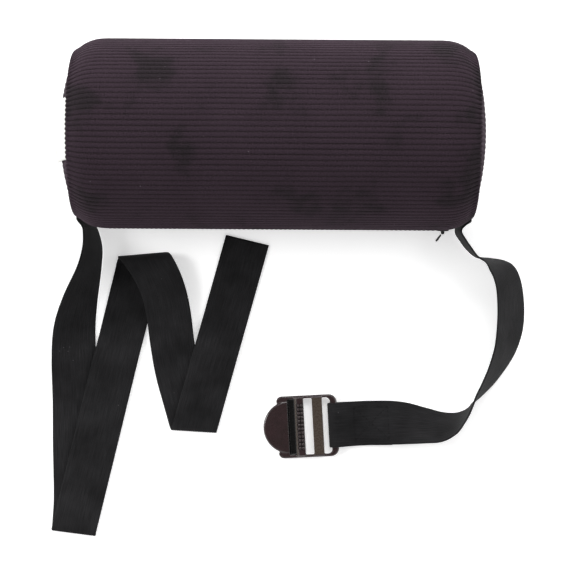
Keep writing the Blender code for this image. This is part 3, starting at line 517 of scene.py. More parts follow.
def stitches(name, line, normal, finish, length=0.0024, spacing=0.0031, radius=0.00022, sink=0.00030):
    """Running stitches along a line of points: each thread is a short tube that rises out
    of the cloth, lies along it and dips back in by the fourth power of its distance from
    its middle."""
    along = distances(line)
    count = max(1, int((along[-1] - length) / spacing) + 1)
    local = np.linspace(0.0, 1.0, 7)
    at = np.linspace(0.0, along[-1] - length, count)[:, None] + length * local[None, :]
    dip = (sink * (2.0 * local - 1.0) ** 4)[None, :, None]
    paths = between(at, along, line) - between(at, along, normal) * dip
    return surface(name, [(ring, False, True, True) for ring in tubes(paths, radius, 6)], finish)


def attach(piece, body, node=None):
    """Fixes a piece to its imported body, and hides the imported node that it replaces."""
    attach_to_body(piece, body)
    if node:
        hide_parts(node)


# ------------------------------------------------------------------ the roll's surface
FULL_TURN = np.linspace(0.0, 2 * math.pi, 160, endpoint=False)
UP = np.array([0.0, 0.0, 1.0])
ROLL_MIDDLE = BACK_DEPTH * UP


def end_past(x):
    """How far x lies past the start of the end's curve, up to that curve's length."""
    return np.clip(np.abs(x) - (HALF_LENGTH - END_CURVE_LENGTH), 0.0, END_CURVE_LENGTH)


def end_draw(x):
    """How far the cover has turned in at x: a circle's profile near each end."""
    return END_CURVE_RADIUS - np.sqrt(END_CURVE_RADIUS ** 2 - end_past(x) ** 2)


def section_radius(angle, draw, inset):
    """Distance from the arch's centre line to the section's outline: an arch, a flat back
    and a fillet between them, all moved in by inset."""
    angle, draw, inset = np.broadcast_arrays(angle, draw, inset)
    arch = ROLL_RADIUS - draw - inset
    fillet = np.maximum(BACK_FILLET - inset, 0.004)
    back = BACK_DEPTH - BACK_DRAW_SHARE * draw - inset
    drop = back - fillet
    reach = np.sqrt((arch - fillet) ** 2 - drop ** 2)
    down = -np.sin(angle)
    side = np.abs(np.cos(angle))
    below = np.arctan2(down, side)
    along = side * reach + down * drop
    round_corner = along + np.sqrt(np.maximum(along ** 2 - reach ** 2 - drop ** 2 + fillet ** 2, 0.0))
    flat = back / np.maximum(down, 1e-6)
    return np.where(below <= np.arctan2(drop, reach), arch,
                    np.where(below >= np.arctan2(back, reach), flat, round_corner))


def roll_points(x, angle, inset):
    """Points of the roll: the section's outline at each angle, drawn in near the ends. An
    inset is square to the surface, so it is divided by the slope's cosine there."""
    slope = np.sqrt(1.0 - (end_past(x) / END_CURVE_RADIUS) ** 2)
    radius = section_radius(angle, end_draw(x), np.maximum(inset, 0.0) / slope) - np.minimum(inset, 0.0)
    return vectors(x, radius * np.cos(angle), BACK_DEPTH + radius * np.sin(angle))


def end_edge(angle, inset):
    """The section's outline at the roll's very end, as a distance from the arch's centre line."""
    return section_radius(angle, end_draw(np.array(HALF_LENGTH)), inset)


def wale_height(phase):
    """0 in the valley between two cords, 1 along a cord's crown: a round cord and a narrow
    valley, from one minus the third power of the distance from the crown."""
    away = np.abs(2.0 * (phase - np.floor(phase)) - 1.0)
    return 1.0 - away ** 3


def ease(share):
    """0 to 1, starting and stopping gently."""
    share = np.clip(share, 0.0, 1.0)
    return share * share * (3.0 - 2.0 * share)


def wander(x, seed, reach=1.0):
    """A slow, repeatable wobble between -reach and reach along x, from three sine waves."""
    return reach * (0.5 * np.sin(31.0 * x + seed) + 0.3 * np.sin(67.0 * x + 2.1 * seed)
                    + 0.2 * np.sin(139.0 * x + 3.7 * seed))


SWELL = {"grid": None, "x": None, "angle": None}
SWELL_ROWS, SWELL_COLUMNS, SWELL_FRAMES = 60, 96, 20


def swell_by_simulation(limit):
    """How far the foam pushes the cover out, from a cloth simulation of the closed roll:
    a smaller copy is remeshed, blown up by pressure without gravity, and its distance from
    the smooth roll is read along rays from the roll's middle."""
    reach = HALF_LENGTH - 0.0015
    x = reach * np.sin((np.linspace(0.0, 1.0, SWELL_ROWS) - 0.5) * math.pi)
    angle = np.linspace(0.0, 2 * math.pi, SWELL_COLUMNS, endpoint=False)
    grid = roll_points(x[:, None], angle[None, :], np.full((SWELL_ROWS, SWELL_COLUMNS), 0.0022))
    shares = np.linspace(0.0, 1.0, 9)[:-1, None]
    ends = []
    for side, row in ((-1.0, grid[0]), (1.0, grid[-1])):
        disc = ROLL_MIDDLE + (row - ROLL_MIDDLE) * shares[..., None]
        disc[..., 0] = side * (reach + (END_BULGE - 0.002) * (1.0 - shares ** 2))
        ends.append(disc)
    whole = np.concatenate([ends[0], grid, ends[1][::-1]])
    body = surface("swell_body", [(whole, False, True, False)], bpy.data.materials.new("plain"), merge=True)
    remesh = body.modifiers.new("Remesh", "REMESH")
    remesh.mode = "VOXEL"
    remesh.voxel_size = 0.006
    depsgraph = bpy.context.evaluated_depsgraph_get()
    body.data = bpy.data.meshes.new_from_object(body.evaluated_get(depsgraph))
    body.modifiers.clear()
    pins = body.vertex_groups.new(name="seams")
    held = [v.index for v in body.data.vertices if abs(abs(v.co.x) - HALF_LENGTH) < 0.006 or v.co.z < 0.004]
    pins.add(held, 1.0, "REPLACE")
    cloth = body.modifiers.new("Cloth", "CLOTH")
    cloth.settings.use_pressure = True
    cloth.settings.uniform_pressure_force = 4.0
    cloth.settings.vertex_group_mass = "seams"
    cloth.settings.tension_stiffness = 40.0
    cloth.settings.compression_stiffness = 40.0
    cloth.settings.shear_stiffness = 20.0
    cloth.settings.effector_weights.gravity = 0.0
    cloth.point_cache.frame_start = 1
    cloth.point_cache.frame_end = SWELL_FRAMES
    for step in range(1, SWELL_FRAMES + 1):
        bpy.context.scene.frame_set(step)
    depsgraph = bpy.context.evaluated_depsgraph_get()
    tree = BVHTree.FromObject(body.evaluated_get(depsgraph), depsgraph)
    offsets = np.zeros((SWELL_ROWS, SWELL_COLUMNS))
    for i in range(SWELL_ROWS):
        for j in range(SWELL_COLUMNS):
            aim = Vector((0.0, math.cos(angle[j]), math.sin(angle[j])))
            hit = tree.ray_cast(Vector((x[i] * 0.97, 0.0, BACK_DEPTH)), aim)
            if hit[0] is not None:
                smooth = np.linalg.norm(grid[i, j, 1:] - np.array([0.0, BACK_DEPTH]))
                offsets[i, j] = hit[3] - smooth
    bpy.context.scene.frame_set(1)
    bpy.data.objects.remove(body, do_unlink=True)
    offsets -= np.median(offsets)
    for _ in range(2):
        offsets = 0.5 * offsets + 0.25 * (np.roll(offsets, 1, 1) + np.roll(offsets, -1, 1))
    offsets = np.clip(offsets, -limit, limit)
    below = (np.sin(angle) < -0.55)[None, :]
    near_end = np.clip((HALF_LENGTH - np.abs(x)) / 0.02, 0.0, 1.0)[:, None]
    SWELL["grid"] = np.where(below, 0.0, offsets) * near_end
    SWELL["x"] = x
    SWELL["angle"] = angle


def swell(x, angle):
    """The simulated swell at points of the roll, between the rays it was read along."""
    if SWELL["grid"] is None:
        return np.zeros(np.broadcast(x, angle).shape)
    x, angle = np.broadcast_arrays(x, angle)
    grid = SWELL["grid"]
    r = np.interp(x, SWELL["x"], np.arange(len(SWELL["x"])))
    c = (angle % (2 * math.pi)) / (2 * math.pi) * grid.shape[1]
    r0 = np.minimum(r.astype(int), grid.shape[0] - 2)
    c0 = c.astype(int) % grid.shape[1]
    c1 = (c0 + 1) % grid.shape[1]
    fr, fc = r - r0, c - np.floor(c)
    return ((1 - fr) * ((1 - fc) * grid[r0, c0] + fc * grid[r0, c1])
            + fr * ((1 - fc) * grid[r0 + 1, c0] + fc * grid[r0 + 1, c1]))


def lip(radius, steps, degrees):
    """A cloth edge turning into its seam: how far it goes on past the edge's start, and how
    far it sinks, round part of a circle."""
    turn = np.radians(np.linspace(0.0, degrees, steps + 1)[1:])
    return radius * np.sin(turn), radius * (1.0 - np.cos(turn))


def seam_allowances():
    """The cloth sewn back inside the rear seam and the two end seams: strips that follow
    the roll's surface just above the foam."""
    strips = [(np.linspace(-0.1320, 0.1320, 40), REAR_SEAM_ANGLE + np.linspace(-0.06, 0.06, 5), False)]
    for first, last in ((-0.1323, -0.1262), (0.1262, 0.1323)):
        strips.append((np.linspace(first, last, 5), FULL_TURN, True))
    shells = []
    for x, angle, closed in strips:
        x = x[:, None]
        points = roll_points(x, angle[None, :], np.full((len(x), len(angle)), 0.00172))
        shells.append((points, False, closed, False, vectors(x, 0.05 * angle[None, :], 0.0 * x)))
    return shells


def corduroy_panel(name, node, start, end, settings, finish, per_wale=8, inside=()):
    """A panel of the cover. Angles run round the section and x along the roll; the surface
    is the roll's own, raised along each cord and turned in at all four edges."""
    seam = settings.seam_radius
    angles = np.linspace(start, end, 2000)
    outline = distances(roll_points(np.array(0.0), angles, 0.0))
    width = outline[-1]
    wales = max(1, round(width / settings.wale_pitch))
    inner = np.linspace(seam, width - seam, wales * per_wale)
    past, sink = lip(seam, 5, 112.0)
    distance = np.concatenate((seam - past[::-1], inner, width - seam + past))
    edge_sink = np.concatenate((sink[::-1], np.zeros(len(inner)), sink))
    theta = np.interp(distance, outline, angles)
    # rows lie closer together over the last 22 mm at each end
    main = HALF_LENGTH - seam
    near = main - 0.022
    rows = np.concatenate((np.linspace(-main, -near, 26), np.linspace(-near, near, 44)[1:-1],
                           np.linspace(near, main, 26)))
    x = np.concatenate((-main - past[::-1], rows, main + past))[:, None]
    row_sink = np.concatenate((sink[::-1], np.zeros(len(rows)), sink))[:, None]
    wobble = wander(x, 1.7, 0.05) + wander(x + 0.3 * theta[None, :], 4.2, 0.03)
    phase = distance[None, :] / width * wales + wobble
    height = wale_height(phase)
    # past the zip's stops the two panels close over it
    closing = (0.5 * ZIP_OPENING - 0.0004) / ROLL_RADIUS
    closing = closing * ease((np.abs(x) - ZIP_LENGTH / 2 - 0.0026) / 0.0050)
    at_zip = 1.0 if abs(end - ZIP_ANGLE) < abs(start - ZIP_ANGLE) else -1.0
    from_zip = width - distance if at_zip > 0 else distance
    theta = theta[None, :] + at_zip * closing * (1.0 - ease(from_zip / 0.014))[None, :]
    # the cords stand higher where the end seam gathers them
    gather = 1.0 + 0.55 * np.exp(-((HALF_LENGTH - np.abs(x)) / 0.006) ** 2)
    depth = settings.wale_depth * gather * (0.92 + 0.12 * wander(phase * 0.11 + x, 2.6))
    lift = depth * (height - 0.75) + swell(x, theta)
    lift = np.where(np.sin(theta) < -0.70, np.minimum(lift, 0.0), lift)
    points = roll_points(np.broadcast_to(x, lift.shape), theta, row_sink + edge_sink[None, :] - lift)
    # each cord's end stands out a little past the valleys beside it
    points[..., 0] += np.sign(x) * (0.0017 * np.maximum(height - 0.3, 0.0)
                                    * ease((np.abs(x) - HALF_LENGTH + 0.0035) / 0.0035))
    piece = surface(name, [(points, False, False, False, vectors(x, distance[None, :], height)), *inside],
                    finish, outward=ROLL_MIDDLE)
    thicken(piece, 0.0010)
    attach(piece, "cushion", node)


def corduroy_end(name, node, side, settings, finish):
    """A domed end panel: rings from its middle to its edge, the edge turned into the seam,
    with its cords running upright across it."""
    edge = 0.965 + 0.035 * np.sin(np.linspace(0.0, 1.4, 7)[1:])
    shares = np.concatenate((np.linspace(0.0, 0.965, 64), edge))[:, None]
    angle = np.linspace(0.0, 2 * math.pi, 560, endpoint=False)[None, :]
    radius = end_edge(angle, COVER_THICKNESS + 0.0003) * shares
    y = radius * np.cos(angle)
    z = BACK_DEPTH + radius * np.sin(angle)
    height = wale_height(y / settings.wale_pitch + wander(z, 0.9 + side, 0.05))
    sink = 0.0022 * np.clip((shares - 0.955) / 0.045, 0.0, 1.0) ** 2
    pucker = 0.00035 * np.sin(angle * 46.0) * np.clip((shares - 0.80) / 0.2, 0.0, 1.0) ** 2
    bulge = (END_BULGE if side > 0 else LEFT_BULGE) * (1.0 - shares ** 2)
    out = HALF_LENGTH + bulge - sink + pucker + settings.wale_depth * (height - 0.75)
    piece = surface(name, [(vectors(side * out, y, z), False, True, False, vectors(z, y, height))], finish,
                    merge=True, outward=ROLL_MIDDLE)
    thicken(piece, 0.0010)
    attach(piece, "cushion", node)


def care_label(finish):
    """A blank ribbon label, caught in the end seam and curling off the end panel: rows come
    down from the seam, each a little further out than the panel."""
    width, shown, whole = 0.0404, 0.0270, 0.0310
    across = np.linspace(-0.5, 0.5, 25)[None, :]
    down = np.linspace(0.0, 1.0, 33)[:, None]
    y = -0.0011 + width * across + 0.0004 * np.sin(5.0 * down)
    rim = float(end_edge(np.array(math.pi / 2), 0.0021))
    top = np.sqrt(rim ** 2 - y ** 2) - 0.0012
    z = top + (rim - 0.0012 - shown - top) * down
    share = np.clip(np.hypot(y, z) / rim, 0.0, 1.0)
    lift = 0.0006 + 0.0032 * down ** 2 + 0.0005 * np.sin(9.0 * across + 3.0 * down) * down
    x = -(HALF_LENGTH + LEFT_BULGE * (1.0 - share ** 2)) - lift
    cloth = vectors(width * across, shown * down, 0.0 * down)
    shell = (vectors(x, y, BACK_DEPTH + z), False, False, False, cloth)
    piece = surface("care_label_ribbon", [shell], finish, outward=ROLL_MIDDLE)
    thicken(piece, 0.0003)
    attach(piece, "cushion", "care_label")


# ------------------------------------------------------------------ the zip
ZIP_OUT = np.array([0.0, math.cos(ZIP_ANGLE), math.sin(ZIP_ANGLE)])
ZIP_ACROSS = np.array([0.0, -math.sin(ZIP_ANGLE), math.cos(ZIP_ANGLE)])


def zip_points(x, across, out):
    """Points given along the zip, across it and out from the cover's face."""
    x, across, out = np.broadcast_arrays(x, across, out)
    place = np.zeros(x.shape + (3,))
    place[..., 0] = x
    place += (across[..., None] * ZIP_ACROSS + (ROLL_RADIUS + out[..., None]) * ZIP_OUT
              + np.array([0.0, 0.0, BACK_DEPTH]))
    return place


def zip_tape(name, node, side, finish):
    """Half of the tape: a flat strip under the cover's edge, following the roll."""
    x = np.linspace(-0.1315, 0.1315, 90)[:, None]
    across = side * np.linspace(0.0002, 0.0088, 10)[None, :]
    points = roll_points(x, ZIP_ANGLE + across / ROLL_RADIUS, np.full((90, 10), 0.0018))
    piece = surface(name, [(points, False, False, False, vectors(x, across, 0.0 * x))], finish,
                    outward=ROLL_MIDDLE)
    thicken(piece, 0.0005)
    attach(piece, "cushion", node)


def zip_coil(name, node, side, settings, finish):
    """One coil: a monofilament wound round and round along the tape's edge, each turn
    reaching over the middle to lie between two turns of the other coil."""
    turns = int(ZIP_LENGTH / settings.coil_pitch)
    t = np.linspace(0.0, turns, turns * 10 + 1)
    shift = 0.5 * settings.coil_pitch if side > 0 else 0.0
    x = -ZIP_LENGTH / 2 + 0.0006 + shift + t * (ZIP_LENGTH - 0.0018) / turns
    across = side * (0.00095 + 0.00090 * np.cos(2 * math.pi * t))
    out = -0.0007 - end_draw(x) + 0.00060 * np.sin(2 * math.pi * t)
    rings = tubes(zip_points(x, across, out)[None], 0.00026, 6)[0]
    piece = surface(name, [(rings, False, True, True)], finish)
    attach(piece, "cushion", node)


def rounded_block(centre, axes, size, power=5.0, rows=14, columns=28):
    """A block with round edges: a sphere's grid whose three coordinates are raised to a
    small power, which flattens its sides, then stretched to size along its axes."""
    v = np.linspace(-math.pi / 2, math.pi / 2, rows)[:, None]
    u = np.linspace(0.0, 2 * math.pi, columns, endpoint=False)[None, :]
    sphere = vectors(np.cos(v) * np.cos(u), np.cos(v) * np.sin(u), np.sin(v) + 0.0 * u)
    scale = (np.abs(sphere) ** power).sum(axis=-1, keepdims=True) ** (-1.0 / power)
    cube = sphere * scale * (np.asarray(size) / 2.0)
    return np.asarray(centre) + cube @ np.asarray(axes)


def rounded_plate(centre, axes, length, width, thickness, edge, power=2.6, columns=72):
    """A plate with a round rim: an oval outline whose corners the power squares up, carried
    down over a quarter circle at its top and bottom edges."""
    turn = np.linspace(0.0, 2 * math.pi, columns, endpoint=False)
    outline = np.stack([np.sign(np.cos(turn)) * np.abs(np.cos(turn)) ** (2.0 / power) * length / 2,
                        np.sign(np.sin(turn)) * np.abs(np.sin(turn)) ** (2.0 / power) * width / 2], axis=-1)
    bend = np.linspace(0.0, math.pi / 2, 5)
    rounding = 1.0 - edge * (1.0 - np.sin(bend))
    scale = np.concatenate(([0.0, 0.5], rounding, rounding[::-1], [0.5, 0.0]))
    rise = thickness / 2 - min(thickness / 2, edge * width / 2) * (1.0 - np.cos(bend))
    height = np.concatenate(([thickness / 2] * 2, rise, -rise[::-1], [-thickness / 2] * 2))
    grid = np.concatenate((outline[None] * scale[:, None, None],
                           np.broadcast_to(height[:, None, None], (len(height), columns, 1))), axis=-1)
    return np.asarray(centre) + grid @ np.asarray(axes)


def zip_fittings(finish):
    """The stops, the slider and its puller."""
    axes = np.array([[1.0, 0.0, 0.0], ZIP_ACROSS, ZIP_OUT])
    stop_x = ZIP_LENGTH / 2 + 0.0013
    for node, x, across, width in (("lower_zip_top_stop", stop_x, 0.0010, 0.0017),
                                   ("upper_zip_top_stop", stop_x, -0.0010, 0.0017),
                                   ("zip_bottom_stop", -stop_x, 0.0, 0.0036)):
        centre = zip_points(x, across, -0.0007 - end_draw(x))
        block = rounded_block(centre, axes, (0.0020, width, 0.0017), 4.0)
        piece = surface(node + "_clamp", [(block, False, True, False)], finish, merge=True)
        attach(piece, "cushion", node)
    # the slider: its top plate, two side flanges, two lugs, the pin between them and its nose
    shells = [rounded_plate(zip_points(SLIDER_X, 0.0, 0.00105), axes, 0.0084, 0.0068, 0.0009, 0.13, 3.2)]
    for side in (-1.0, 1.0):
        for across, out, size, power in ((0.00300, -0.0001, (0.0074, 0.0007, 0.0022), 6.0),
                                         (0.0020, 0.0024, (0.0022, 0.0008, 0.0028), 4.0)):
            shells.append(rounded_block(zip_points(SLIDER_X, side * across, out), axes, size, power))
    pin = tubes(zip_points(SLIDER_X, np.linspace(-0.0020, 0.0020, 7), PIVOT_OUT)[None], 0.0005, 14)[0]
    nose = zip_points(SLIDER_X + 0.0026, 0.0, 0.0016)
    shells.append(rounded_block(nose, axes, (0.0022, 0.0020, 0.0008), 3.0))
    shells = [(shell, False, True, False) for shell in shells]
    slider = surface("zip_slider_casting", [*shells, (pin, False, True, True)], finish, merge=True)
    attach(slider, "zip_slider", "zip_slider")
    # the puller: a plate with a raised middle, and an eye round the pin
    lean = math.radians(PULLER_LEAN)
    along = np.array([-math.cos(lean), 0.0, 0.0]) + ZIP_OUT * math.sin(lean)
    tab_axes = np.array([along, ZIP_ACROSS, np.cross(along, ZIP_ACROSS)])
    pivot = zip_points(SLIDER_X, 0.0, PIVOT_OUT)
    plate = rounded_plate(pivot + along * 0.0046, tab_axes, 0.0060, 0.0032, 0.0009, 0.2, 2.8)
    ridge = rounded_plate(pivot + along * 0.0056, tab_axes, 0.0038, 0.0018, 0.0013, 0.3, 2.4)
    turn = np.linspace(0.0, 2 * math.pi, 25)[:-1, None]
    outward = np.cos(turn) * along + np.sin(turn) * tab_axes[2]
    tube_turn = np.linspace(0.0, 2 * math.pi, 10, endpoint=False)[None, :, None]
    eye = (pivot + outward[:, None] * (0.00105 + 0.00022 * np.cos(tube_turn))
           + ZIP_ACROSS * (0.0010 * np.sin(tube_turn)))
    puller = surface("zip_puller_tab", [(plate, False, True, False), (ridge, False, True, False),
                                        (eye, True, True, False)], finish, merge=True)
    attach(puller, "zip_puller", "zip_puller")


def zip_topstitch(settings, finish):
    """Two rows of stitches, each in the valley beside a cover edge of the zip."""
    x = np.linspace(-0.124, 0.124, 240)
    for name, side in (("upper_zip_topstitch", -1.0), ("lower_zip_topstitch", 1.0)):
        angle = ZIP_ANGLE + side * (ZIP_OPENING / 2 + settings.wale_pitch * 1.02) / ROLL_RADIUS
        line = roll_points(x, np.full_like(x, angle), np.full_like(x, -0.00030))
        normal = np.broadcast_to(np.array([0.0, math.cos(angle), math.sin(angle)]), line.shape)
        attach(stitches(name, line, normal, finish), "cushion")


# ------------------------------------------------------------------ the straps
def lean_vector(yaw, lean):
    """The way that a strap's width points: yaw degrees round from +X, raised by lean."""
    yaw, lean = np.radians(yaw), np.radians(lean)
    return vectors(np.cos(lean) * np.cos(yaw), np.cos(lean) * np.sin(yaw), np.sin(lean))


def smooth_run(centres, across, pieces):
    """Points and directions on smooth cubic curves through the stations."""
    def curve(points):
        padded = np.concatenate((2 * points[:1] - points[1:2], points, 2 * points[-1:] - points[-2:-1]))
        a, b, c, d = padded[:-3, None], padded[1:-2, None], padded[2:-1, None], padded[3:, None]
        t = (np.arange(pieces) / pieces)[None, :, None]
        inside = 0.5 * (2 * b + (c - a) * t + (2 * a - 5 * b + 4 * c - d) * t ** 2
                        + (3 * b - a - 3 * c + d) * t ** 3)
        return np.concatenate((inside.reshape(-1, 3), points[-1:]))
    lines = curve(across)
    return curve(centres), lines / np.linalg.norm(lines, axis=1, keepdims=True)


def half_turn(crease, yaw, radius, ahead, drift, steps):
    """A fold: half a circle round a crease, drifting along it because the strap crosses
    the crease at a slant."""
    turn = np.linspace(-math.pi / 2, math.pi / 2, steps + 1)[:, None]
    along = lean_vector(yaw, 0.0)
    centres = (crease + ahead * radius * (np.cos(turn) - 1.0)
               + UP * (BOTTOM_Z + radius * (1.0 + np.sin(turn)))
               + along * drift * turn / math.pi)
    return centres, np.repeat(along[None], steps + 1, axis=0)


def flat_run(start, end, heights, steps):
    """A straight run between two folds, whose height eases from one given height to the
    next at given shares of its way."""
    t = np.linspace(0.0, 1.0, steps + 2)[1:-1]
    shares, levels = (np.array(v) for v in zip(*heights))
    k = np.clip(np.searchsorted(shares, t) - 1, 0, len(shares) - 2)
    z = levels[k] + (levels[k + 1] - levels[k]) * ease((t - shares[k]) / (shares[k + 1] - shares[k]))
    centres = start[0] + (end[0] - start[0]) * t[:, None]
    centres[:, 2] = z
    across = start[1] + (end[1] - start[1]) * t[:, None]
    return centres, across / np.linalg.norm(across, axis=1, keepdims=True)


def joined(runs):
    """Several runs of centres and directions as one."""
    return np.concatenate([r[0] for r in runs]), np.concatenate([r[1] for r in runs])


def long_strap_run():
    """Every station of the long strap, from its end seam to its cut end."""
    values = np.array(LONG_STRAP_FREE_RUN)
    second_z = BOTTOM_Z + LAYER_PITCH
    loop_z = BOTTOM_Z + 2 * LOOP_RADIUS
    first, loop, second = (
        half_turn(np.array([x, y, 0.0]) * MM, yaw, radius, np.array([0.0, ahead, 0.0]), drift, steps)
        for (x, y, yaw), radius, ahead, drift, steps in zip(
            FOLDS, (LAYER_PITCH / 2, LOOP_RADIUS, LAYER_PITCH / 2), (-1.0, 1.0, -1.0),
            (0.0, -0.0050, -0.0008), (14, 28, 14)))
    last = (np.array([[LONG_STRAP_END[0] * MM, LONG_STRAP_END[1] * MM, BOTTOM_Z]]),
            lean_vector(LONG_STRAP_END[2], 0.0)[None])
    centres = np.concatenate((values[:, :3] * MM, first[0][:1]))
    leans = np.concatenate((lean_vector(values[:, 3], values[:, 4]), first[1][:1]))
    free = smooth_run(centres, leans, 16)
    runs = [(free[0][:-1], free[1][:-1])]
    # the heights of each run as it passes over the runs below it
    for fold, to, steps, heights in (
            (first, loop, 110, ((0.0, second_z), (0.35, second_z), (0.52, second_z + 0.0010),
                                (0.64, second_z + 0.0008), (0.76, BOTTOM_Z), (1.0, BOTTOM_Z))),
            (loop, second, 80, ((0.0, loop_z), (0.41, second_z + 0.0020), (0.57, BOTTOM_Z), (1.0, BOTTOM_Z))),
            (second, last, 80, ((0.0, second_z), (0.25, second_z + 0.0008), (0.42, second_z + 0.0008),
                                (0.62, BOTTOM_Z), (1.0, BOTTOM_Z)))):
        runs += [fold, flat_run((fold[0][-1], fold[1][-1]), (to[0][0], to[1][0]), heights, steps)]
    centres, across = joined([*runs, last])
    # the slack loop swings sideways: one wave of a cosine from its crest along the third run
    crest = sum(len(run[0]) for run in runs[:3]) + len(loop[0]) // 2
    stop = crest + len(loop[0]) // 2 + 60
    share = distances(centres[crest:stop])
    centres[crest:stop, 0] += LOOP_BOW * (0.5 - 0.5 * np.cos(2 * math.pi * (share / share[-1]) ** 0.62))
    return centres, across


def short_strap_run():
    """Every station of the short strap: to the buckle, round its end bar and back below."""
    values = np.array(SHORT_STRAP_FREE_RUN)
    back = lean_vector(BUCKLE_YAW, 0.0)
    across = lean_vector(270.0 + BUCKLE_YAW, 0.0)
    bar = BUCKLE_BAR * (1.0 - UP)
    layer = STRAP_THICKNESS + 0.0003
    doubled_z = BOTTOM_Z + layer
    loop_radius = 0.0024 + 0.0006 + STRAP_THICKNESS / 2
    lead = np.array(((0.0230, doubled_z + 0.0012, 3.0), (0.0155, doubled_z + 0.0008, 0.0),
                     (0.0090, doubled_z + 0.0025, 0.0)))
    centres = np.concatenate((values[:, :3] * MM, bar + back * lead[:, :1] + UP * lead[:, 1:2]))
    leans = np.concatenate((lean_vector(values[:, 3], values[:, 4]),
                            lean_vector(270.0 + BUCKLE_YAW, lead[:, 2])))
    free = smooth_run(centres, leans, 8)
    ahead = np.gradient(free[0], axis=0)
    normal = np.cross(ahead, free[1])
    normal *= -np.sign(normal[:, 2:3]) / np.linalg.norm(normal, axis=1, keepdims=True)
    reach = (free[0] - bar) @ back
    doubled = (reach >= 0.0140) & (reach <= 0.0400) & (free[1] @ across > 0.9)
    tail = (free[0][doubled] + normal[doubled] * layer, free[1][doubled])
    turn = np.radians(np.linspace(66.0, 270.0, 27))[:, None]
    loop = bar + back * loop_radius * np.cos(turn) + UP * (BOTTOM_Z + loop_radius * (1.0 + np.sin(turn)))
    under = (bar + back * 0.008 + UP * BOTTOM_Z)[None]
    return joined([free, (loop, np.repeat(across[None], 27, axis=0)), (under, across[None]),
                   (tail[0][::-1], tail[1][::-1])]), free


def webbing(name, node, run, settings, finish, columns=76):
    """A band of elastic webbing carried along its stations: a flat section with round
    edges and lengthwise ribs, kept to its width where its lines lie at a slant."""
    centres, across = run
    tangent = np.gradient(centres, axis=0)
    tangent /= np.linalg.norm(tangent, axis=1, keepdims=True)
    normal = np.cross(tangent, across)
    size = np.linalg.norm(normal, axis=1)
    half = 0.5 * STRAP_WIDTH / size
    lift = normal / size[:, None]
    lowest = centres[:, 2] - np.abs(across[:, 2]) * half - np.abs(lift[:, 2]) * STRAP_THICKNESS / 2
    centres = centres + UP * np.maximum(0.0, FLOOR_GAP - lowest)[:, None]
    level = np.linspace(-1.0, 1.0, columns)
    rib = settings.rib_height * (0.5 - 0.5 * np.cos(2 * math.pi * settings.rib_count * (level + 1.0) / 2.0))
    top = STRAP_THICKNESS / 2 - settings.rib_height + rib
    turn = np.linspace(math.pi / 2, -math.pi / 2, 7)[1:-1]
    radius = STRAP_THICKNESS / 2 - settings.rib_height
    round_edge = radius * np.cos(turn)
    share = np.concatenate((level, np.ones(5), level[::-1], -np.ones(5)))
    edge = np.concatenate((np.zeros(columns), round_edge, np.zeros(columns), -round_edge))
    rise = np.concatenate((top, radius * np.sin(turn), -top[::-1], -radius * np.sin(turn)))
    sideways = (half - radius)[:, None] * share[None, :] + edge[None, :]
    points = centres[:, None] + across[:, None] * sideways[..., None] + lift[:, None] * rise[None, :, None]
    cloth = vectors(distances(centres)[:, None], sideways, 0.0 * sideways)
    piece = surface(name, [(points, False, True, True, cloth)], finish)
    attach(piece, "cushion", node)


def buckle_stitches(run, finish):
    """The box and cross that sew the short strap to itself, in the strap's own length and
    width, laid on its upper face."""
    centres, across = run
    reach = (centres - BUCKLE_BAR * (1.0 - UP)) @ lean_vector(BUCKLE_YAW, 0.0)
    order = np.argsort(reach)
    keep = order[(reach[order] > 0.010) & (reach[order] < 0.045) & (across[order][:, 1] < -0.85)]
    normal = np.cross(np.gradient(centres, axis=0), across)
    normal *= np.sign(normal[:, 2:3]) / np.linalg.norm(normal, axis=1, keepdims=True)
    near, far, wide = 0.0135, 0.0375, 0.0115
    lines = (((near, -wide), (near, wide)), ((near, wide), (far, wide)), ((far, wide), (far, -wide)),
             ((far, -wide), (near, -wide)), ((near, -wide), (far, wide)), ((near, wide), (far, -wide)))
    t = np.linspace(0.0, 1.0, 60)
    for number, (first, second) in enumerate(lines):
        u = first[0] + (second[0] - first[0]) * t
        v = first[1] + (second[1] - first[1]) * t
        middle, sideways, out = (between(u, reach[keep], values[keep])
                                 for values in (centres, across, normal))
        line = middle + sideways * v[:, None] + out * (STRAP_THICKNESS / 2 + 0.00004)
        piece = stitches("buckle_strap_stitches_%d" % (number + 1), line, out, finish, length=0.0022,
                         spacing=0.0027, radius=0.00019)
        attach(piece, "cushion")


# ------------------------------------------------------------------ the buckle
def buckle_axes():
    """The buckle's own axes in rows: towards the strap, across it, and up."""
    yaw = Matrix.Rotation(math.radians(BUCKLE_YAW), 3, "Z")
    return np.array(yaw @ Matrix.Rotation(math.radians(-BUCKLE_TILT), 3, "Y")).T


def arc(x, y, radius, start, end, steps):
    """Points on part of a circle round (x, y), from start to end in degrees."""
    turn = np.radians(np.linspace(start, end, steps + 1))
    return np.column_stack((x + radius * np.cos(turn), y + radius * np.sin(turn)))


def crossbar(x0, x1, half_width, low, high):
    """A bar across the buckle: a box from x0 to x1, and from low to high."""
    return np.array([[[x0, -half_width, z], [x1, -half_width, z], [x1, half_width, z], [x0, half_width, z]]
                     for z in (low, high)])


def zone(x, start, end, softness):
    """1 between start and end, falling to 0 over the softness inside each."""
    return np.clip((x - start) / softness, 0.0, 1.0) * np.clip((end - x) / softness, 0.0, 1.0)


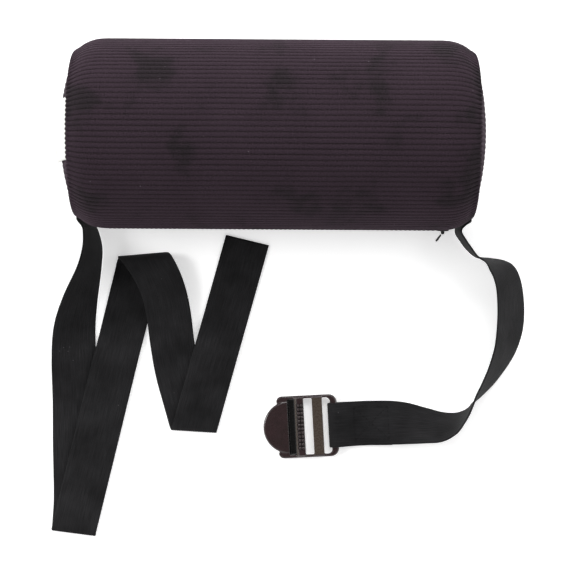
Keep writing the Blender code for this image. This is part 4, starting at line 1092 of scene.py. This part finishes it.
def ladder_lock(finish):
    """The buckle, as plain shells that overlap - the frame, its bars, the web and the tab -
    made one moulding by a voxel remesh, whose edges are then eased; the teeth stay apart."""
    half, opening, thick, reach = 0.02165, 0.0196, 0.0016, 0.0203
    tab_x, tab_radius, tab_tilt, tab_start = -0.0311, 0.0184, math.radians(6.0), -0.0322
    outer = np.concatenate((arc(0.0024 - 0.0058, half - 0.0058, 0.0058, 0.0, 90.0, 12),
                            arc(-0.0361, half - 0.0036, 0.0036, 90.0, 178.0, 10),
                            [[-0.0392, 0.0166], [tab_start, 0.0182], [-0.0320, opening]],
                            arc(-0.0024 - 0.0030, opening - 0.0030, 0.0030, 90.0, 0.0, 8)))
    outline = np.concatenate((outer, (outer * np.array([1.0, -1.0]))[::-1]))
    rim = ((np.abs(outline[:, 1]) > 0.0202) | (outline[:, 0] > -0.0010))[:, None]
    inward = (outline - np.array([-0.0186, 0.0])) / np.array([0.0210, half])
    rails = np.stack([np.column_stack((outline - rim * inward * shrink, np.full(len(rim), z)))
                      for shrink, z in ((0.0, -thick), (0.0, thick - 0.0008), (0.00035, thick - 0.0003),
                                        (0.0009, thick))])
    # the thumb tab: half a disc that rises away from the frame, its upper edge rounded
    disc = arc(tab_x, 0.0, tab_radius, 93.0, 267.0, 59)
    disc = np.concatenate(([[tab_start, 0.0183]], disc[disc[:, 0] < tab_start], [[tab_start, -0.0183]]))
    from_middle = disc - np.array([tab_x, 0.0])
    size = np.hypot(*from_middle.T)
    tab = []
    for shrink, z in ((0.0, -0.0006), (0.0, 0.0010), (0.0004, 0.0015), (0.0011, 0.0019)):
        x, y = (from_middle * (1.0 - shrink / size)[:, None] + np.array([tab_x, 0.0])).T
        tab.append(np.column_stack((x, y, z + (tab_start - x) * math.tan(tab_tilt))))
    shells = [rails,
              crossbar(-0.0150, -0.0079, reach, -thick, thick + 0.0005),
              crossbar(-0.0270, -0.0209, reach, -thick, thick + 0.0009),
              crossbar(-0.0271, -0.0259, reach, 0.0, thick + 0.0018),
              crossbar(-0.0330, -0.0265, reach, -thick, -0.0009),
              crossbar(-0.0345, -0.0318, 0.0200, -thick, thick - 0.0002),
              np.stack(tab)]
    body = surface("buckle_moulding", [(s, False, True, True) for s in shells], finish)
    remesh = body.modifiers.new("Fuse", "REMESH")
    remesh.mode = "VOXEL"
    remesh.voxel_size = 0.00038
    smooth = body.modifiers.new("Ease", "SMOOTH")
    smooth.factor = 0.5
    smooth.iterations = 3
    bpy.context.view_layer.update()
    fused = bpy.data.meshes.new_from_object(body.evaluated_get(bpy.context.evaluated_depsgraph_get()))
    body.modifiers.clear()
    fused.materials.clear()
    fused.materials.append(finish)
    local = np.zeros(len(fused.vertices) * 3)
    fused.vertices.foreach_get("co", local)
    local = local.reshape(-1, 3)
    axes = buckle_axes()
    fused.vertices.foreach_set("co", (local @ axes + BUCKLE_BAR).ravel())
    fused.shade_smooth()
    # painted shade lies in the groove and between the teeth; the plain bar is worn paler, and the ridge is
    # painted paler as a highlight
    x, across = local[:, 0], np.abs(local[:, 1])
    between_teeth = zone(x, -0.0257, -0.0211, 0.0003) * (across < 0.0160)
    shade = np.maximum(zone(x, -0.0325, -0.0268, 0.0004), 0.8 * between_teeth) * (across < opening)
    # the plain bar's real wear, together with the ridge's painted highlight
    wear_and_highlight = np.maximum(zone(x, -0.0152, -0.0077, 0.0006), zone(x, -0.0275, -0.0257, 0.0003))
    wear_and_highlight = wear_and_highlight * (across < opening)
    values = fused.attributes.new("cloth", "FLOAT_VECTOR", "POINT")
    values.data.foreach_set("vector", np.column_stack((shade, wear_and_highlight, shade * 0.0)).astype(np.float32).ravel())
    body.data = fused
    teeth = []
    for along in (-0.0245, -0.0222):
        for sideways in np.linspace(-0.01485, 0.01485, 12):
            centre = np.array([along, sideways, thick + 0.0011]) @ axes + BUCKLE_BAR
            tooth = rounded_block(centre, axes, (0.0019, 0.0019, 0.0017), 3.4, 9, 16)
            teeth.append((tooth, False, True, False))
    attach(body, "buckle", "ladder_lock_buckle")
    attach(surface("buckle_teeth", teeth, finish, merge=True), "buckle")


# ------------------------------------------------------------------ operators
def finish_named(name, make, settings):
    """The named material, made the first time it is asked for."""
    return bpy.data.materials.get(name) or make(settings)


class LUMBAR_OT_cover(bpy.types.Operator):
    """Builds the corduroy cover: two panels, two domed ends and the foam's swell"""
    bl_idname = "lumbar.cover"
    bl_label = "Corduroy cover"

    def execute(self, context):
        settings = context.scene.lumbar_roll
        corduroy = finish_named("Brushed cotton corduroy", brushed_corduroy, settings)
        swell_by_simulation(settings.swell_limit)
        edge = 0.5 * ZIP_OPENING / ROLL_RADIUS
        corduroy_panel("front_corduroy", "front_panel", REAR_SEAM_ANGLE - 0.001, ZIP_ANGLE - edge, settings,
                       corduroy, 8, seam_allowances())
        corduroy_panel("back_corduroy", "back_panel", ZIP_ANGLE + edge, 2 * math.pi + REAR_SEAM_ANGLE + 0.001,
                       settings, corduroy, 7)
        corduroy_end("left_end_corduroy", "left_end_panel", -1.0, settings, corduroy)
        corduroy_end("right_end_corduroy", "right_end_panel", 1.0, settings, corduroy)
        return {"FINISHED"}


class LUMBAR_OT_foam(bpy.types.Operator):
    """Gives the foam core its open-cell foam"""
    bl_idname = "lumbar.foam"
    bl_label = "Foam core"

    def execute(self, context):
        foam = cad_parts["foam_core"]
        foam.data.materials.clear()
        foam.data.materials.append(slabstock_foam())
        return {"FINISHED"}


class LUMBAR_OT_label(bpy.types.Operator):
    """Builds the blank ribbon label in the left end seam"""
    bl_idname = "lumbar.label"
    bl_label = "Care label"

    def execute(self, context):
        care_label(woven_satin())
        return {"FINISHED"}


class LUMBAR_OT_zip(bpy.types.Operator):
    """Builds the zip: its tapes, coils, stops, slider, puller and topstitching"""
    bl_idname = "lumbar.zip"
    bl_label = "Zip"

    def execute(self, context):
        hardware = context.scene.lumbar_hardware
        tape, nylon = twilled_tape(), extruded_nylon()
        halves = (("lower", 1.0), ("upper", -1.0))
        for half, side in halves:
            zip_tape(half + "_tape", half + "_zip_tape", side, tape)
        for half, side in halves:
            zip_coil(half + "_coil", half + "_zip_coil", side, hardware, nylon)
        zip_fittings(enamelled_zinc(hardware))
        thread = finish_named("Spun polyester thread", spun_thread, context.scene.lumbar_strap)
        zip_topstitch(context.scene.lumbar_roll, thread)
        return {"FINISHED"}


class LUMBAR_OT_straps(bpy.types.Operator):
    """Builds the two elastic straps and the stitching at the buckle"""
    bl_idname = "lumbar.straps"
    bl_label = "Straps"

    def execute(self, context):
        settings = context.scene.lumbar_strap
        elastic = elastic_webbing(settings)
        thread = finish_named("Spun polyester thread", spun_thread, settings)
        webbing("long_webbing", "long_strap", long_strap_run(), settings, elastic)
        run, free = short_strap_run()
        webbing("short_webbing", "short_strap", run, settings, elastic)
        buckle_stitches(free, thread)
        return {"FINISHED"}


class LUMBAR_OT_buckle(bpy.types.Operator):
    """Builds the ladder-lock buckle"""
    bl_idname = "lumbar.buckle"
    bl_label = "Ladder-lock buckle"

    def execute(self, context):
        ladder_lock(moulded_acetal(context.scene.lumbar_hardware))
        return {"FINISHED"}


class LUMBAR_OT_stage(bpy.types.Operator):
    """Builds the pale table, the soft lights and the camera above them"""
    bl_idname = "lumbar.stage"
    bl_label = "Stage"

    def execute(self, context):
        scene = context.scene
        settings = scene.lumbar_stage
        span = np.linspace(-6.0, 6.0, 3)
        flat = np.stack(np.meshgrid(span, span, indexing="ij") + [np.full((3, 3), -0.0002)], axis=-1)
        floor = surface("table_top", [(flat, False, False, False)], white_laminate(settings),
                        outward=(0.0, 0.0, -5.0))
        world = bpy.data.worlds.new("White room")
        scene.world = world
        world.use_nodes = True
        room = world.node_tree
        # white walls and a darker ceiling, which lets level gloss stay dark and edges shine
        way = add_node(room, "ShaderNodeTexCoord").outputs["Generated"]
        height = add_node(room, "ShaderNodeSeparateXYZ", {"Vector": way}).outputs["Z"]
        walls = ramp(room, height, *((at, (grey, grey, grey, 1.0)) for at, grey in (
            (0.0, 1.0), (0.55, 0.95), (0.93, 0.16), (1.0, 0.10))))
        room.links.new(walls, room.nodes["Background"].inputs["Color"])
        room.nodes["Background"].inputs["Strength"].default_value = 1.0
        for name, place, size, power in (("Back", (0.15, 1.35, 1.15), 1.2, 24.0),
                                         ("Left", (-1.35, 0.15, 1.10), 0.6, 15.0),
                                         ("Right", (1.45, 0.2, 1.10), 0.8, 6.5)):
            data = bpy.data.lights.new(name, "AREA")
            data.size = size
            data.energy = power
            lamp = bpy.data.objects.new(name, data)
            scene.collection.objects.link(lamp)
            lamp.location = place
            aim = Vector((0.0, -0.08, 0.03)) - lamp.location
            lamp.rotation_euler = aim.to_track_quat("-Z", "Y").to_euler()
        data = bpy.data.cameras.new("Camera")
        data.sensor_width = 36.0
        data.lens = data.sensor_width * settings.camera_height / TABLE_IN_VIEW
        camera = bpy.data.objects.new("Camera", data)
        scene.collection.objects.link(camera)
        camera.location = (0.0095, -0.1024, settings.camera_height)
        camera.rotation_euler = (0.0, 0.0, math.radians(0.39))
        scene.camera = camera
        scene.view_settings.view_transform = "Standard"
        return {"FINISHED"}


class LUMBAR_PT_panel(bpy.types.Panel):
    """Lists the pieces of the cushion"""
    bl_idname = "LUMBAR_PT_panel"
    bl_label = "Lumbar cushion"
    bl_space_type = "VIEW_3D"
    bl_region_type = "UI"
    bl_category = "Lumbar cushion"

    def draw(self, context):
        for group in ("lumbar_roll", "lumbar_strap", "lumbar_hardware", "lumbar_stage"):
            settings = getattr(context.scene, group)
            box = self.layout.box()
            for name in settings.__annotations__:
                box.prop(settings, name)
        for operator in OPERATORS:
            self.layout.operator(operator.bl_idname)


SETTINGS = {"lumbar_roll": LumbarRollSettings, "lumbar_strap": LumbarStrapSettings,
            "lumbar_hardware": LumbarHardwareSettings, "lumbar_stage": LumbarStageSettings}
OPERATORS = (LUMBAR_OT_cover, LUMBAR_OT_foam, LUMBAR_OT_label, LUMBAR_OT_zip, LUMBAR_OT_straps,
             LUMBAR_OT_buckle, LUMBAR_OT_stage)


def register():
    for name, group in SETTINGS.items():
        bpy.utils.register_class(group)
        setattr(bpy.types.Scene, name, PointerProperty(type=group))
    for kind in (*OPERATORS, LUMBAR_PT_panel):
        bpy.utils.register_class(kind)


def unregister():
    for kind in (LUMBAR_PT_panel, *reversed(OPERATORS)):
        bpy.utils.unregister_class(kind)
    for name, group in reversed(SETTINGS.items()):
        delattr(bpy.types.Scene, name)
        bpy.utils.unregister_class(group)


def main():
    register()
    for operator in OPERATORS:
        group, name = operator.bl_idname.split(".")
        getattr(getattr(bpy.ops, group), name)()
    bpy.context.view_layer.update()


if __name__ == "__main__":
    main()
